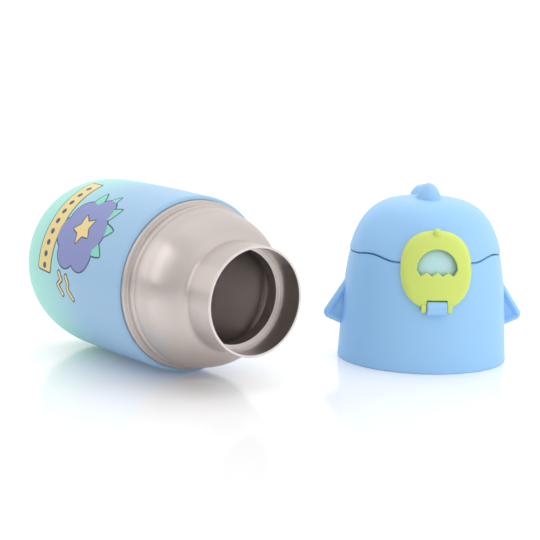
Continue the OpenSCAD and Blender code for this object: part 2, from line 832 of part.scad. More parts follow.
module spout_stopper() {
    color(silicone) place_lid() translate([0, -spout_offset, 0]) rotate_extrude() polygon([
        [0, stopper_z - stopper_reach], [stopper_r - stopper_lead, stopper_z - stopper_reach],
        [stopper_r, stopper_z], [spout_r + stopper_clear, stopper_z],
        [spout_r + stopper_clear, stopper_top],
        [stem_r, stopper_top], [stem_r, liner_plate_z + liner_plate_t],
        [0, liner_plate_z + liner_plate_t]
    ]);
}

// Two blunt spikes along the middle of the cap, the front one taller.
module crest() {
    top_z = lid_h + cap_proud;
    color(lid_blue) place_lid() difference() {
        for (spike = [[-spike_front, spike_h], [spike_back, spike_h - spike_fall]]) hull() {
            for (y = [-spike_r / 3, spike_r / 3])
                translate([0, spike[0] + y, top_z - spike_sink]) sphere(r = spike_r, $fn = 32);
            translate([0, spike[0], top_z + spike[1] - spike_tip_r])
                sphere(r = spike_tip_r, $fn = 32);
        }
        lid_form(-cap_proud);
    }
}

// ---- Latch and button ----

// Egg-shaped lock plate that hugs the collar and swings down about its pin.
module latch() {
    color(lime) place_lid() difference() {
        union() {
            intersection() {
                to_front(10, far) polygon(egg_points());
                difference() {
                    lid_form(-latch_out);
                    lid_form(-latch_gap);
                }
            }
            translate([0, -lid_r(nub_z, -latch_out) + nub_sink, nub_z]) sphere(r = nub_r);
            for (side = [0, 1]) mirror([side, 0, 0])
                rod_x(foot_r, foot_x, foot_x + foot_w, latch_axis_y, latch_axis_z);
        }
        to_front(10, far) polygon(concat(arch_points(0), window_bottom()));
        translate([-foot_x, -far, 0]) cube([2 * foot_x, far, notch_top]);
        rod_x(latch_pin_r + pin_clear, -far, far, latch_axis_y, latch_axis_z);
    }
}

// Button face that follows the collar's surface, with a back plate inside the wall.
module push_button() {
    color(teal) place_lid() difference() {
        union() {
            intersection() {
                to_front(-plate_y - button_back_t, far)
                    polygon(concat(arch_points(button_over), button_bottom(button_over)));
                lid_form(button_face_in);
            }
            translate([-flange_half_w, plate_y, button_low - flange_under])
                cube([2 * flange_half_w, button_back_t, plate_top - button_low + flange_under]);
        }
        translate([0, spring_seat_y, button_z]) rotate([-90, 0, 0])
            cylinder(r = spring_r + edge, h = far);
    }
}

// Arm on the button's back plate whose tip stands over the cap's catch.
module button_hook() {
    arm_y = plate_y + button_back_t;
    low = button_z + spring_r + 2 * edge;
    color(white_plastic) place_lid() {
        translate([-hook_half_w, arm_y, low])
            cube([2 * hook_half_w, hook_back_y - arm_y, hook_top - low]);
        translate([-hook_half_w, hook_tip_y, hook_top - hook_t])
            cube([2 * hook_half_w, hook_back_y - hook_tip_y, hook_t]);
    }
}

body_shell();
steel_wall();
inner_liner();
liner_base();
base_plate();
vacuum_getter();
reflective_foil();
base_cover();
base_pad();
lid_collar();
inner_plug();
neck_seal();
drinking_spout();
vent_valve();
fin_left();
fin_right();
hinge_pin();
cap_spring();
latch_pin();
button_spring();
flip_cap();
cap_liner();
spout_stopper();
crest();
latch();
push_button();
button_hook();
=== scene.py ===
import json
import math

import bmesh
import bpy
import numpy as np
from bpy.props import FloatProperty, FloatVectorProperty, PointerProperty, StringProperty
from bpy.types import Operator, Panel, PropertyGroup
from mathutils import Matrix, Vector


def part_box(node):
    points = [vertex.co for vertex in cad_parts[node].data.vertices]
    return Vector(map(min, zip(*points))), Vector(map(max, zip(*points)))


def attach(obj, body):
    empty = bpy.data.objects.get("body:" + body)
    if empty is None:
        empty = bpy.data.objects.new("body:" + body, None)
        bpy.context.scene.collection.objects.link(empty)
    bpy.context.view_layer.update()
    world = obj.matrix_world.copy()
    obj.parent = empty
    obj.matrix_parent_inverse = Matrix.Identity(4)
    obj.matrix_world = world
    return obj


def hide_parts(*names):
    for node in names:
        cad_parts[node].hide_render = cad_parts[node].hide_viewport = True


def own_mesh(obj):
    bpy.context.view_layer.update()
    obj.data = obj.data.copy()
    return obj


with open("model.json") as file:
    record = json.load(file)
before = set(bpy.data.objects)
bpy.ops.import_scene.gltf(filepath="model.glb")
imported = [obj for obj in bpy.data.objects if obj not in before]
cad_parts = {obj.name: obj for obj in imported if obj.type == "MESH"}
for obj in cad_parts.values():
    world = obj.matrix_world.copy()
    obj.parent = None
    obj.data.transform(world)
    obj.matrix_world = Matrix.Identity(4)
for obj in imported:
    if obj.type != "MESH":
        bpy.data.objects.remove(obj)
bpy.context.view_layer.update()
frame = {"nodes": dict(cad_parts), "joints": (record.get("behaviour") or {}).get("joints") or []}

bl_info = {
    "name": "Kids water bottle",
    "version": (1, 0, 0),
    "blender": (4, 5, 0),
    "location": "View3D > Sidebar > Bottle",
    "description": "Finishes a printed vacuum bottle and its flip lid around their frame",
    "category": "Object",
}

MM = 0.001
JOINTS = {joint["name"]: joint for joint in frame["joints"]}


def middle(node):
    """Middle of a node's box."""
    low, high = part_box(node)
    return (low + high) / 2


# Places that come from the frame: the bottle's axis, its front edge, and the lid's axis and turn.
SHELL_LOW, SHELL_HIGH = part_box("body_shell")
AXIS = middle("body_shell")
FRONT = Vector((SHELL_HIGH.x, AXIS.y, AXIS.z))
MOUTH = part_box("inner_liner")[1].x - FRONT.x
SEAL_AXIS = middle("neck_seal")
LID_AXIS = Vector((SEAL_AXIS.x, SEAL_AXIS.y, 0))
CAP_AXIS = JOINTS["cap_open"]["axis"]
LID_TURN = math.atan2(-CAP_AXIS[1], -CAP_AXIS[0])
LAY_BOTTLE = Matrix.Translation(FRONT) @ Matrix.Rotation(math.radians(90), 4, "Y")
PLACE_LID = Matrix.Translation(LID_AXIS) @ Matrix.Rotation(LID_TURN, 4, "Z")
HINGE = PLACE_LID.inverted() @ Vector(JOINTS["cap_open"]["pos_m"])
LATCH_AXIS = PLACE_LID.inverted() @ Vector(JOINTS["latch_open"]["pos_m"])
BODY_R = (SHELL_HIGH.z - SHELL_LOW.z) / 2
BODY_LEN = SHELL_HIGH.x - SHELL_LOW.x
LID_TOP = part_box("flip_cap")[1].z
SPLIT_Z = HINGE.z

# Clearances that several pieces share, and a reach that is past every piece of the lid.
FIT_GAP = 0.1 * MM
SIDE_CLEAR = 0.3 * MM
TURN_CLEAR = 0.35 * MM
BUTTON_OVER = 0.5 * MM
FAR = 60 * MM


# ---- Sizes and colours ----

def length(name, what, value):
    """A length property, given in millimetres."""
    return FloatProperty(name=name, description=what, default=value * MM, unit="LENGTH", precision=5)


def hue(name, what, value):
    """A colour property, kept as an sRGB hex value."""
    return StringProperty(name=name, description=what, default=value)


class BottleSizes(PropertyGroup):
    """Sizes of the bottle that the frame doesn't give."""

    belly: length("Belly", "Swelling of the shell between its ends", 0.4)
    base_flat_r: length("Base ring", "Radius of the flat ring that the bottle stands on", 33.3)
    corner_len: length("Base corner", "Length of the rounding round the base", 30)
    shell_wall: length("Shell wall", "Wall of the printed shell", 2)
    base_lip: length("Base lip", "Width of the lip round the base cover", 5.3)
    steel_t: length("Outer sheet", "Sheet thickness of the outer wall", 0.65)
    liner_t: length("Inner sheet", "Sheet thickness of the liner", 0.6)
    vacuum_gap: length("Vacuum gap", "Space between the two steel walls", 2.2)
    bead_len: length("Bead", "Length of the rolled bead", 2)
    groove_depth: length("Groove depth", "Depth of the groove from the bead", 2.4)
    groove_len: length("Groove width", "Width of the groove", 2.6)
    ridge_depth: length("Ridge depth", "Depth of the ridge from the bead", 1.8)
    ridge_len: length("Ridge width", "Width of the ridge", 2.7)
    step_depth: length("Shoulder depth", "Depth of the shoulder's start from the bead", 2.7)
    dome_len: length("Shoulder length", "Length of the domed shoulder", 24.3)
    dome_turn: FloatProperty(name="Shoulder turn", description="Angle that the dome turns through",
                             default=math.radians(69), subtype="ANGLE")
    neck_r: length("Neck", "Outer radius of the neck", 26.7)
    bore_r: length("Mouth", "Inner radius of the mouth", 25.4)
    ledge_depth: length("Ledge depth", "Depth of the sealing ledge below the lip", 15.5)
    ledge_w: length("Ledge width", "Width of the sealing ledge", 2.25)


class LidSizes(PropertyGroup):
    """Sizes of the lid that the frame doesn't give."""

    base_r: length("Rim radius", "Outer radius of the lid's rim", 43.7)
    wall: length("Wall", "Wall of the collar and the cap", 2.4)
    cap_proud: length("Cap overhang", "How far the cap stands proud of the collar", 0.6)
    taper: FloatProperty(name="Taper", description="Lean of the side for each unit of height",
                         default=0.0506)
    power_z: FloatProperty(name="Dome height power", description="Squareness along the height",
                           default=4.47)
    power_r: FloatProperty(name="Dome width power", description="Squareness across the width",
                           default=3.3)
    split_gap: length("Split gap", "Gap between the cap and the collar", 0.7)
    wave_low: length("Split drop", "Drop of the split line beside the latch", 1)
    wave_high: length("Split rise", "Rise of the split line further round", 1.4)
    arch_half_w: length("Arch half width", "Half width of the arch over the button", 17)
    arch_h: length("Arch height", "Height of the arch over the button", 11)
    skirt_r: length("Skirt radius", "Inner radius of the thick skirt", 40.6)
    skirt_h: length("Skirt height", "Height of the thick skirt", 7.5)
    fin_out: length("Fin reach", "How far a fin's tip stands out from the lid's rim", 8.1)
    fin_top_z: length("Fin top", "Height of a fin's upper root", 42)
    fin_low_z: length("Fin foot", "Height of a fin's lower root", 14.6)
    fin_tip_z: length("Fin tip height", "Height of the middle of a fin's tip", 23.2)
    fin_t: length("Fin thickness", "Thickness of a fin, whose edges are fully round", 7)
    fin_dish: length("Fin dish", "Depth of the hollow in each face of a fin", 1.9)
    spike_r: length("Spike radius", "Radius of a crest spike at its base", 6.6)
    spike_front: length("Front spike", "Distance of the front spike before the lid's axis", 5)
    spike_back: length("Back spike", "Distance of the back spike behind the lid's axis", 14)
    spike_fall: length("Spike fall", "How much lower the back spike is", 3)
    knuckle_r: length("Knuckle radius", "Radius of the cap's hinge knuckles", 3)
    knuckle_w: length("Knuckle width", "Width of one hinge knuckle", 5.8)
    spring_half_w: length("Spring space", "Half width of the torsion spring's space", 3.2)
    spout_offset: length("Spout offset", "Distance of the spout in front of the axis", 12)
    spout_bore_r: length("Spout bore", "Inner radius of the spout", 6.2)
    spout_wall: length("Spout wall", "Wall of the spout", 2.4)


class LatchSizes(PropertyGroup):
    """Sizes of the latch and the button."""

    half_w: length("Half width", "Half width of the egg-shaped latch", 17.9)
    half_h: length("Half height", "Half height of the latch", 19.2)
    drop: length("Drop", "Distance of the latch's middle below the split line", 3.8)
    power: FloatProperty(name="Egg power", description="Squareness of the egg outline", default=2.4)
    gap: length("Gap", "Gap between the latch and the collar", 0.95)
    out: length("Reach", "Reach of the outer face from the collar", 3.4)
    edge: length("Outer rounding", "Depth of the rounding of the latch's outer edge", 2.2)
    edge_w: length("Outer rounding width", "Width of that rounding", 3.4)
    window_edge: length("Window rounding", "Rounding of the window's edge", 0.5)
    window_half_w: length("Window half width", "Half width of the window", 10.3)
    window_arch_h: length("Window arch", "Height of the window above its widest line", 10.3)
    window_foot: length("Window foot", "Depth of the window below its widest line", 2.9)
    tooth_h: length("Tooth height", "Height of the teeth along the window", 2)
    nub_r: length("Nub", "Radius of the nub on top of the latch", 2)
    knuckle_r: length("Knuckle radius", "Radius of the collar's knuckle for the latch", 3.6)
    knuckle_half_w: length("Knuckle", "Half width of the collar's knuckle", 4.95)
    foot_w: length("Foot width", "Width of one foot of the latch", 2.5)
    foot_r: length("Foot radius", "Radius of one foot of the latch", 2.3)


class Finishes(PropertyGroup):
    """Colours of the finishes."""

    shell_blue: hue("Shell blue", "Shell towards the mouth", "#9AC1E1")
    shell_mint: hue("Shell mint", "Shell towards the base", "#A6E6DA")
    lid_blue: hue("Lid blue", "Collar, cap, fins and crest", "#99CAF5")
    lime: hue("Lime", "Latch", "#D2E371")
    teal: hue("Teal", "Button", "#C2E8F0")
    white: hue("White", "Inner plastic of the lid", "#F1F1EC")
    silicone: hue("Silicone", "Seals and stopper", "#DCE8EA")
    steel: hue("Steel", "Outer stainless sheet", "#C9C0BB")
    liner_steel: hue("Liner steel", "Inner stainless sheet", "#D8D1CE")
    wire: hue("Wire", "Springs and pins", "#B9B9BC")
    foil: hue("Foil", "Copper foil round the liner", "#C98B5E")
    ink_yellow: hue("Yellow ink", "Ribbon and bolts of the print", "#EBD58C")
    ink_navy: hue("Navy ink", "Outlines of the print", "#3E4468")
    ink_violet: hue("Violet ink", "Cloud of the print", "#848DC4")
    ink_mint: hue("Mint ink", "Leaves of the print", "#7FD8BE")


class StageSettings(PropertyGroup):
    """Camera and light of the studio."""

    camera_offset: FloatVectorProperty(name="Camera", subtype="TRANSLATION", size=3,
                                       description="Camera from the point under the shell's edge",
                                       default=(0.72267, -0.48672, 0.20165))
    azimuth: FloatProperty(name="Azimuth", description="Direction of view", subtype="ANGLE",
                           default=math.radians(53.59))
    pitch: FloatProperty(name="Pitch", description="Downward tilt", subtype="ANGLE",
                         default=math.radians(9.71))
    roll: FloatProperty(name="Roll", description="Turn about the line of sight", subtype="ANGLE",
                        default=math.radians(1.38))
    lens: FloatProperty(name="Lens", description="Focal length on a 36 mm sensor", default=120)


# ---- Small tools ----

def settings(group):
    """The property group of that name on the scene."""
    return getattr(bpy.context.scene, group)


def linear(value):
    """Linear RGBA from an sRGB hex value."""
    channels = [int(value[i:i + 2], 16) / 255 for i in (1, 3, 5)]
    return [c / 12.92 if c <= 0.04045 else ((c + 0.055) / 1.055) ** 2.4 for c in channels] + [1]


def node(tree, kind, links=None, **options):
    """Adds a node: links maps inputs to values or to other nodes' outputs, options are its settings."""
    made = tree.nodes.new(kind)
    for key, value in options.items():
        setattr(made, key, value)
    for key, value in (links or {}).items():
        if isinstance(value, bpy.types.NodeSocket):
            tree.links.new(value, made.inputs[key])
        else:
            made.inputs[key].default_value = value
    return made


def plain(holder):
    """Turns an object's evaluated result into a plain mesh and removes the object."""
    graph = bpy.context.evaluated_depsgraph_get()
    mesh = bpy.data.meshes.new_from_object(holder.evaluated_get(graph))
    name = holder.name
    bpy.data.objects.remove(holder)
    mesh.name = name
    made = bpy.data.objects.new(name, mesh)
    bpy.context.scene.collection.objects.link(made)
    return made


def from_mesh(name, vertices, faces):
    """A new object with that mesh."""
    mesh = bpy.data.meshes.new(name)
    mesh.from_pydata([tuple(v) for v in vertices], [], faces)
    made = bpy.data.objects.new(name, mesh)
    bpy.context.scene.collection.objects.link(made)
    return made


def from_bmesh(name, mesh):
    """A new object with what a working mesh holds."""
    data = bpy.data.meshes.new(name)
    mesh.to_mesh(data)
    mesh.free()
    made = bpy.data.objects.new(name, data)
    bpy.context.scene.collection.objects.link(made)
    return made


def tidy_mesh(piece, place=None, sharp=40, outward=True):
    """Merges doubles, turns the faces outwards, places the mesh and smooths it up to an angle."""
    mesh = bmesh.new()
    mesh.from_mesh(piece.data)
    bmesh.ops.remove_doubles(mesh, verts=mesh.verts, dist=0.002 * MM)
    bmesh.ops.dissolve_degenerate(mesh, edges=mesh.edges, dist=0.002 * MM)
    if outward:
        bmesh.ops.recalc_face_normals(mesh, faces=mesh.faces)
    for edge in mesh.edges:
        edge.smooth = len(edge.link_faces) == 2 and edge.calc_face_angle(0) < math.radians(sharp)
    for face in mesh.faces:
        face.smooth = True
    mesh.to_mesh(piece.data)
    mesh.free()
    if place is not None:
        piece.data.transform(place)
    piece.data.update()
    return piece


def joined(name, *parts):
    """Joins pieces of one finish into one mesh."""
    mesh = bmesh.new()
    for part in parts:
        mesh.from_mesh(part.data)
    material = parts[0].data.materials[0] if parts[0].data.materials else None
    for part in parts:
        bpy.data.objects.remove(part)
    made = from_bmesh(name, mesh)
    if material:
        made.data.materials.append(material)
    return made


def carve(piece, *cutters):
    """Cuts closed pieces out of a closed piece."""
    for cutter in cutters:
        cut = piece.modifiers.new("cut", "BOOLEAN")
        cut.operation = "DIFFERENCE"
        cut.solver = "EXACT"
        cut.object = cutter
        piece = plain(piece)
        bpy.data.objects.remove(cutter)
    return piece


def finish(piece, body, slot, material, *nodes):
    """Gives a piece its material and its body, and hides the nodes that it stands for. The slot is not
    used.
    """
    piece.data.materials.clear()
    piece.data.materials.append(material)
    for face in piece.data.polygons:
        face.material_index = 0
    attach(piece, body)
    if nodes:
        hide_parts(*nodes)
    return piece


def arc(centre_r, centre_z, radius, start, end, steps=6):
    """Points of a round from one direction to another, in degrees."""
    return [(centre_r + radius * math.cos(math.radians(start + (end - start) * i / steps)),
             centre_z + radius * math.sin(math.radians(start + (end - start) * i / steps)))
            for i in range(steps + 1)]


def bent(start, corner_point, end, steps):
    """Points of a soft bend from start to end that leans towards a corner."""
    return [tuple(start * (1 - t) ** 2 + corner_point * 2 * t * (1 - t) + end * t * t)
            for t in (k / steps for k in range(steps + 1))]


def softened(points, radius, closed=True, steps=4):
    """Rounds each corner of an outline by up to a radius."""
    out = []
    count = len(points)
    for i, point in enumerate(points):
        if not closed and i in (0, count - 1):
            out.append(tuple(point))
            continue
        here = Vector(point).to_2d()
        before = Vector(points[i - 1]).to_2d() - here
        after = Vector(points[(i + 1) % count]).to_2d() - here
        reach = min(radius, before.length * 0.45, after.length * 0.45)
        start = here + before.normalized() * reach
        end = here + after.normalized() * reach
        out += bent(start, here, end, steps)
    return out


# ---- Geometry Nodes ----

def new_tree(name, inputs):
    """A geometry tree with named inputs. Each is (name, socket kind, default or None)."""
    tree = bpy.data.node_groups.new(name, "GeometryNodeTree")
    for label, kind, value in inputs:
        socket = tree.interface.new_socket(label, in_out="INPUT", socket_type=kind)
        if value is not None:
            socket.default_value = value
    tree.interface.new_socket("Geometry", in_out="OUTPUT", socket_type="NodeSocketGeometry")
    return tree


def end_tree(tree, geometry, material):
    """Ends a tree in real geometry with its material set."""
    real = node(tree, "GeometryNodeRealizeInstances", {"Geometry": geometry})
    done = node(tree, "GeometryNodeSetMaterial", {"Geometry": real.outputs[0], "Material": material})
    node(tree, "NodeGroupOutput", {"Geometry": done.outputs[0]})


def lathe_tree():
    """Turns a row of profile points about z: one grid row for each point, one column for each step."""
    if "Lathe" in bpy.data.node_groups:
        return bpy.data.node_groups["Lathe"]
    tree = new_tree("Lathe", [("Profile", "NodeSocketObject", None), ("Steps", "NodeSocketInt", 128),
                              ("Weld", "NodeSocketFloat", 0.001 * MM),
                              ("Material", "NodeSocketMaterial", None)])
    given = node(tree, "NodeGroupInput").outputs
    profile = node(tree, "GeometryNodeObjectInfo", {"Object": given["Profile"]}).outputs["Geometry"]
    size = node(tree, "GeometryNodeAttributeDomainSize", {"Geometry": profile})
    columns = node(tree, "FunctionNodeIntegerMath", {0: given["Steps"], 1: 1}, operation="ADD")
    grid = node(tree, "GeometryNodeMeshGrid", {"Vertices X": size.outputs["Point Count"],
                                               "Vertices Y": columns.outputs[0]})
    index = node(tree, "GeometryNodeInputIndex").outputs[0]
    row = node(tree, "FunctionNodeIntegerMath", {0: index, 1: columns.outputs[0]},
               operation="DIVIDE_FLOOR")
    column = node(tree, "FunctionNodeIntegerMath", {0: index, 1: columns.outputs[0]},
                  operation="MODULO")
    place = node(tree, "GeometryNodeInputPosition").outputs[0]
    point = node(tree, "GeometryNodeSampleIndex", data_type="FLOAT_VECTOR", domain="POINT")
    tree.links.new(profile, point.inputs["Geometry"])
    tree.links.new(place, point.inputs["Value"])
    tree.links.new(row.outputs[0], point.inputs["Index"])
    share = node(tree, "ShaderNodeMath", {0: column.outputs[0], 1: given["Steps"]}, operation="DIVIDE")
    angle = node(tree, "ShaderNodeMath", {0: share.outputs[0], 1: math.tau}, operation="MULTIPLY")
    turned = node(tree, "ShaderNodeVectorRotate", {"Vector": point.outputs["Value"],
                                                   "Angle": angle.outputs[0]}, rotation_type="Z_AXIS")
    wrapped = node(tree, "GeometryNodeSetPosition", {"Geometry": grid.outputs["Mesh"],
                                                     "Position": turned.outputs[0]})
    welded = node(tree, "GeometryNodeMergeByDistance", {"Geometry": wrapped.outputs[0],
                                                        "Distance": given["Weld"]})
    end_tree(tree, welded.outputs[0], given["Material"])
    return tree


def coil_tree():
    """Round wire wound into a coil about z."""
    if "Coil" in bpy.data.node_groups:
        return bpy.data.node_groups["Coil"]
    tree = new_tree("Coil", [("Turns", "NodeSocketFloat", 5.0), ("Radius", "NodeSocketFloat", 2 * MM),
                             ("Height", "NodeSocketFloat", 5 * MM),
                             ("Wire Radius", "NodeSocketFloat", 0.3 * MM),
                             ("Material", "NodeSocketMaterial", None)])
    given = node(tree, "NodeGroupInput").outputs
    path = node(tree, "GeometryNodeCurveSpiral", {"Resolution": 28, "Rotations": given["Turns"],
                                                  "Start Radius": given["Radius"],
                                                  "End Radius": given["Radius"],
                                                  "Height": given["Height"]})
    wire = node(tree, "GeometryNodeCurvePrimitiveCircle", {"Resolution": 10,
                                                           "Radius": given["Wire Radius"]})
    skin = node(tree, "GeometryNodeCurveToMesh", {"Curve": path.outputs[0],
                                                  "Profile Curve": wire.outputs[0],
                                                  "Fill Caps": True})
    end_tree(tree, skin.outputs[0], given["Material"])
    return tree


def print_tree():
    """Lays a flat patch on the shell: x runs along the bottle, y round it, and z stands off it."""
    if "Print" in bpy.data.node_groups:
        return bpy.data.node_groups["Print"]
    tree = new_tree("Print", [("Geometry", "NodeSocketGeometry", None),
                              ("Shell", "NodeSocketObject", None),
                              ("Shell Radius", "NodeSocketFloat", 44.5 * MM),
                              ("Origin", "NodeSocketVector", (0, 0, 0)),
                              ("Detail", "NodeSocketInt", 3),
                              ("Material", "NodeSocketMaterial", None)])
    given = node(tree, "NodeGroupInput").outputs
    fine = node(tree, "GeometryNodeSubdivideMesh", {"Mesh": given["Geometry"],
                                                    "Level": given["Detail"]})
    flat = node(tree, "ShaderNodeSeparateXYZ", {0: node(tree, "GeometryNodeInputPosition").outputs[0]})
    angle = node(tree, "ShaderNodeMath", {0: flat.outputs["Y"], 1: given["Shell Radius"]},
                 operation="DIVIDE")
    side = node(tree, "ShaderNodeMath", {0: angle.outputs[0]}, operation="SINE")
    back = node(tree, "ShaderNodeMath", {0: side.outputs[0], 1: -1.0}, operation="MULTIPLY")
    rise = node(tree, "ShaderNodeMath", {0: angle.outputs[0]}, operation="COSINE")
    out = node(tree, "ShaderNodeCombineXYZ", {"X": 0.0, "Y": back.outputs[0], "Z": rise.outputs[0]})
    along = node(tree, "ShaderNodeCombineXYZ", {"X": flat.outputs["X"]})
    core = node(tree, "ShaderNodeVectorMath", {0: along.outputs[0], 1: given["Origin"]},
                operation="ADD")
    reach = node(tree, "ShaderNodeVectorMath", {0: out.outputs[0], "Scale": 0.1}, operation="SCALE")
    start = node(tree, "ShaderNodeVectorMath", {0: core.outputs[0], 1: reach.outputs[0]},
                 operation="ADD")
    inward = node(tree, "ShaderNodeVectorMath", {0: out.outputs[0], "Scale": -1.0},
                  operation="SCALE")
    shell = node(tree, "GeometryNodeObjectInfo", {"Object": given["Shell"]}).outputs["Geometry"]
    hit = node(tree, "GeometryNodeRaycast", {"Target Geometry": shell,
                                             "Source Position": start.outputs[0],
                                             "Ray Direction": inward.outputs[0],
                                             "Ray Length": 0.2})
    lift = node(tree, "ShaderNodeVectorMath", {0: hit.outputs["Hit Normal"],
                                               "Scale": flat.outputs["Z"]}, operation="SCALE")
    laid = node(tree, "ShaderNodeVectorMath", {0: hit.outputs["Hit Position"], 1: lift.outputs[0]},
                operation="ADD")
    wrapped = node(tree, "GeometryNodeSetPosition", {"Geometry": fine.outputs[0],
                                                     "Position": laid.outputs[0]})
    end_tree(tree, wrapped.outputs[0], given["Material"])
    return tree


def grown(name, tree, values, base=None):
    """Runs a tree with its inputs set by their identifiers, and keeps the result as a plain mesh."""
    holder = base or from_mesh(name, [(0, 0, 0)], [])
    holder.name = name
    modifier = holder.modifiers.new(tree.name, "NODES")
    modifier.node_group = tree
    for item in tree.interface.items_tree:
        if item.in_out == "INPUT" and item.name in values:
            modifier[item.identifier] = values[item.name]
    return plain(holder)


def lathe(name, profile, material, place, steps=160, sharp=40):
    """Turns a profile of (radius, height) points about its axis and puts it in place."""
    row = from_mesh(name + "_profile", [(r, 0, z) for r, z in profile], [])
    piece = grown(name, lathe_tree(), {"Profile": row, "Steps": steps, "Material": material})
    bpy.data.objects.remove(row)
    return tidy_mesh(piece, place, sharp)


def loft(name, columns, closed=True, sharp=40):
    """Joins columns of points into a skin. A closed column is a loop, and an open one ends at poles."""
    count, size = len(columns), len(columns[0])
    vertices = [point for column in columns for point in column]
    faces = []
    for i in range(count):
        k = (i + 1) % count
        for j in range(size if closed else size - 1):
            m = (j + 1) % size
            faces.append((i * size + j, k * size + j, k * size + m, i * size + m))
    return tidy_mesh(from_mesh(name, vertices, faces), sharp=sharp)


def rod(name, radius, start, end, y, z, soft=0.5 * MM, steps=48):
    """A rod along x with rounded ends, in the lid's own frame."""
    profile = [(0, 0)] + softened([(0, 0), (radius, 0), (radius, end - start), (0, end - start)],
                                  soft, closed=False)[1:-1] + [(0, end - start)]
    place = Matrix.Translation((start, y, z)) @ Matrix.Rotation(math.radians(90), 4, "Y")
    return lathe(name, profile, None, place, steps)


def block(name, low, high, soft=0.4 * MM):
    """A block between two corners with rounded edges, in the lid's own frame."""
    mesh = bmesh.new()
    bmesh.ops.create_cube(mesh, size=1)
    low, high = Vector(low), Vector(high)
    for vertex in mesh.verts:
        vertex.co = Vector([low[i] if vertex.co[i] < 0 else high[i] for i in range(3)])
    if soft:
        bmesh.ops.bevel(mesh, geom=mesh.edges, offset=soft, segments=3, profile=0.5,
                        affect="EDGES", clamp_overlap=True)
    return tidy_mesh(from_bmesh(name, mesh))


# ---- Materials ----

def new_material(name):
    """An empty material with its tree, its shader and its object coordinates."""
    material = bpy.data.materials.new(name)
    material.use_nodes = True
    tree = material.node_tree
    shader = tree.nodes["Principled BSDF"]
    coordinates = node(tree, "ShaderNodeTexCoord").outputs["Object"]
    return material, tree, shader, coordinates


def varied_colour(tree, shader, coordinates, colour, size, amount):
    """Lets a colour drift a little over patches of a real size."""
    noise = node(tree, "ShaderNodeTexNoise", {"Vector": coordinates, "Scale": 1 / size, "Detail": 3.0})
    darker = [c * (1 - amount) for c in colour[:3]] + [1]
    # Inputs 6 and 7 and output 2 are the colours of a node that also mixes numbers and vectors.
    mix = node(tree, "ShaderNodeMix", {"Factor": noise.outputs["Fac"], 6: colour, 7: darker},
               data_type="RGBA")
    tree.links.new(mix.outputs[2], shader.inputs["Base Color"])


def grained(tree, shader, coordinates, grit, depth, roughness, spread):
    """Fine moulded grain: bump and a little change of roughness at the same real size."""
    noise = node(tree, "ShaderNodeTexNoise", {"Vector": coordinates, "Scale": 1 / grit, "Detail": 2.0})
    bump = node(tree, "ShaderNodeBump", {"Height": noise.outputs["Fac"], "Distance": depth,
                                         "Strength": 0.35})
    tree.links.new(bump.outputs[0], shader.inputs["Normal"])
    rough = node(tree, "ShaderNodeMapRange", {"Value": noise.outputs["Fac"],
                                              "To Min": roughness - spread,
                                              "To Max": roughness + spread})
    tree.links.new(rough.outputs[0], shader.inputs["Roughness"])


def satin_polypropylene(name, colour, roughness=0.42, glow=0.06):
    """Moulded polypropylene with a satin spark finish: soft highlights and a little depth."""
    material, tree, shader, coordinates = new_material(name)
    varied_colour(tree, shader, coordinates, linear(colour), 18 * MM, 0.03)
    # Real spark grain is about 0.05 mm; it is drawn at 0.35 mm so that it can show.
    grained(tree, shader, coordinates, 0.35 * MM, 0.02 * MM, roughness, 0.04)
    shader.inputs["IOR"].default_value = 1.49
    shader.inputs["Subsurface Weight"].default_value = glow
    shader.inputs["Subsurface Radius"].default_value = (1.2, 1.6, 2.0)
    shader.inputs["Subsurface Scale"].default_value = 0.8 * MM
    return material


def printed_polypropylene(finishes):
    """Soft-touch shell, sprayed from mint at the base to blue at the mouth: matt, with no hard edge."""
    material, tree, shader, coordinates = new_material("printed_polypropylene")
    along = node(tree, "ShaderNodeSeparateXYZ", {0: coordinates})
    drift = node(tree, "ShaderNodeTexNoise", {"Vector": coordinates, "Scale": 1 / (30 * MM)})
    shift = node(tree, "ShaderNodeMath", {0: drift.outputs["Fac"], 1: 8 * MM, 2: along.outputs["X"]},
                 operation="MULTIPLY_ADD")
    place = node(tree, "ShaderNodeMapRange", {"Value": shift.outputs[0],
                                              "From Min": SHELL_LOW.x + 18 * MM,
                                              "From Max": SHELL_LOW.x + 74 * MM},
                 interpolation_type="SMOOTHSTEP")
    ramp = node(tree, "ShaderNodeValToRGB", {"Fac": place.outputs[0]})
    ramp.color_ramp.elements[0].color = linear(finishes.shell_mint)
    ramp.color_ramp.elements[1].color = linear(finishes.shell_blue)
    tree.links.new(ramp.outputs[0], shader.inputs["Base Color"])
    grained(tree, shader, coordinates, 0.3 * MM, 0.015 * MM, 0.46, 0.04)
    shader.inputs["IOR"].default_value = 1.49
    shader.inputs["Coat Weight"].default_value = 0.12
    shader.inputs["Coat Roughness"].default_value = 0.35
    return material


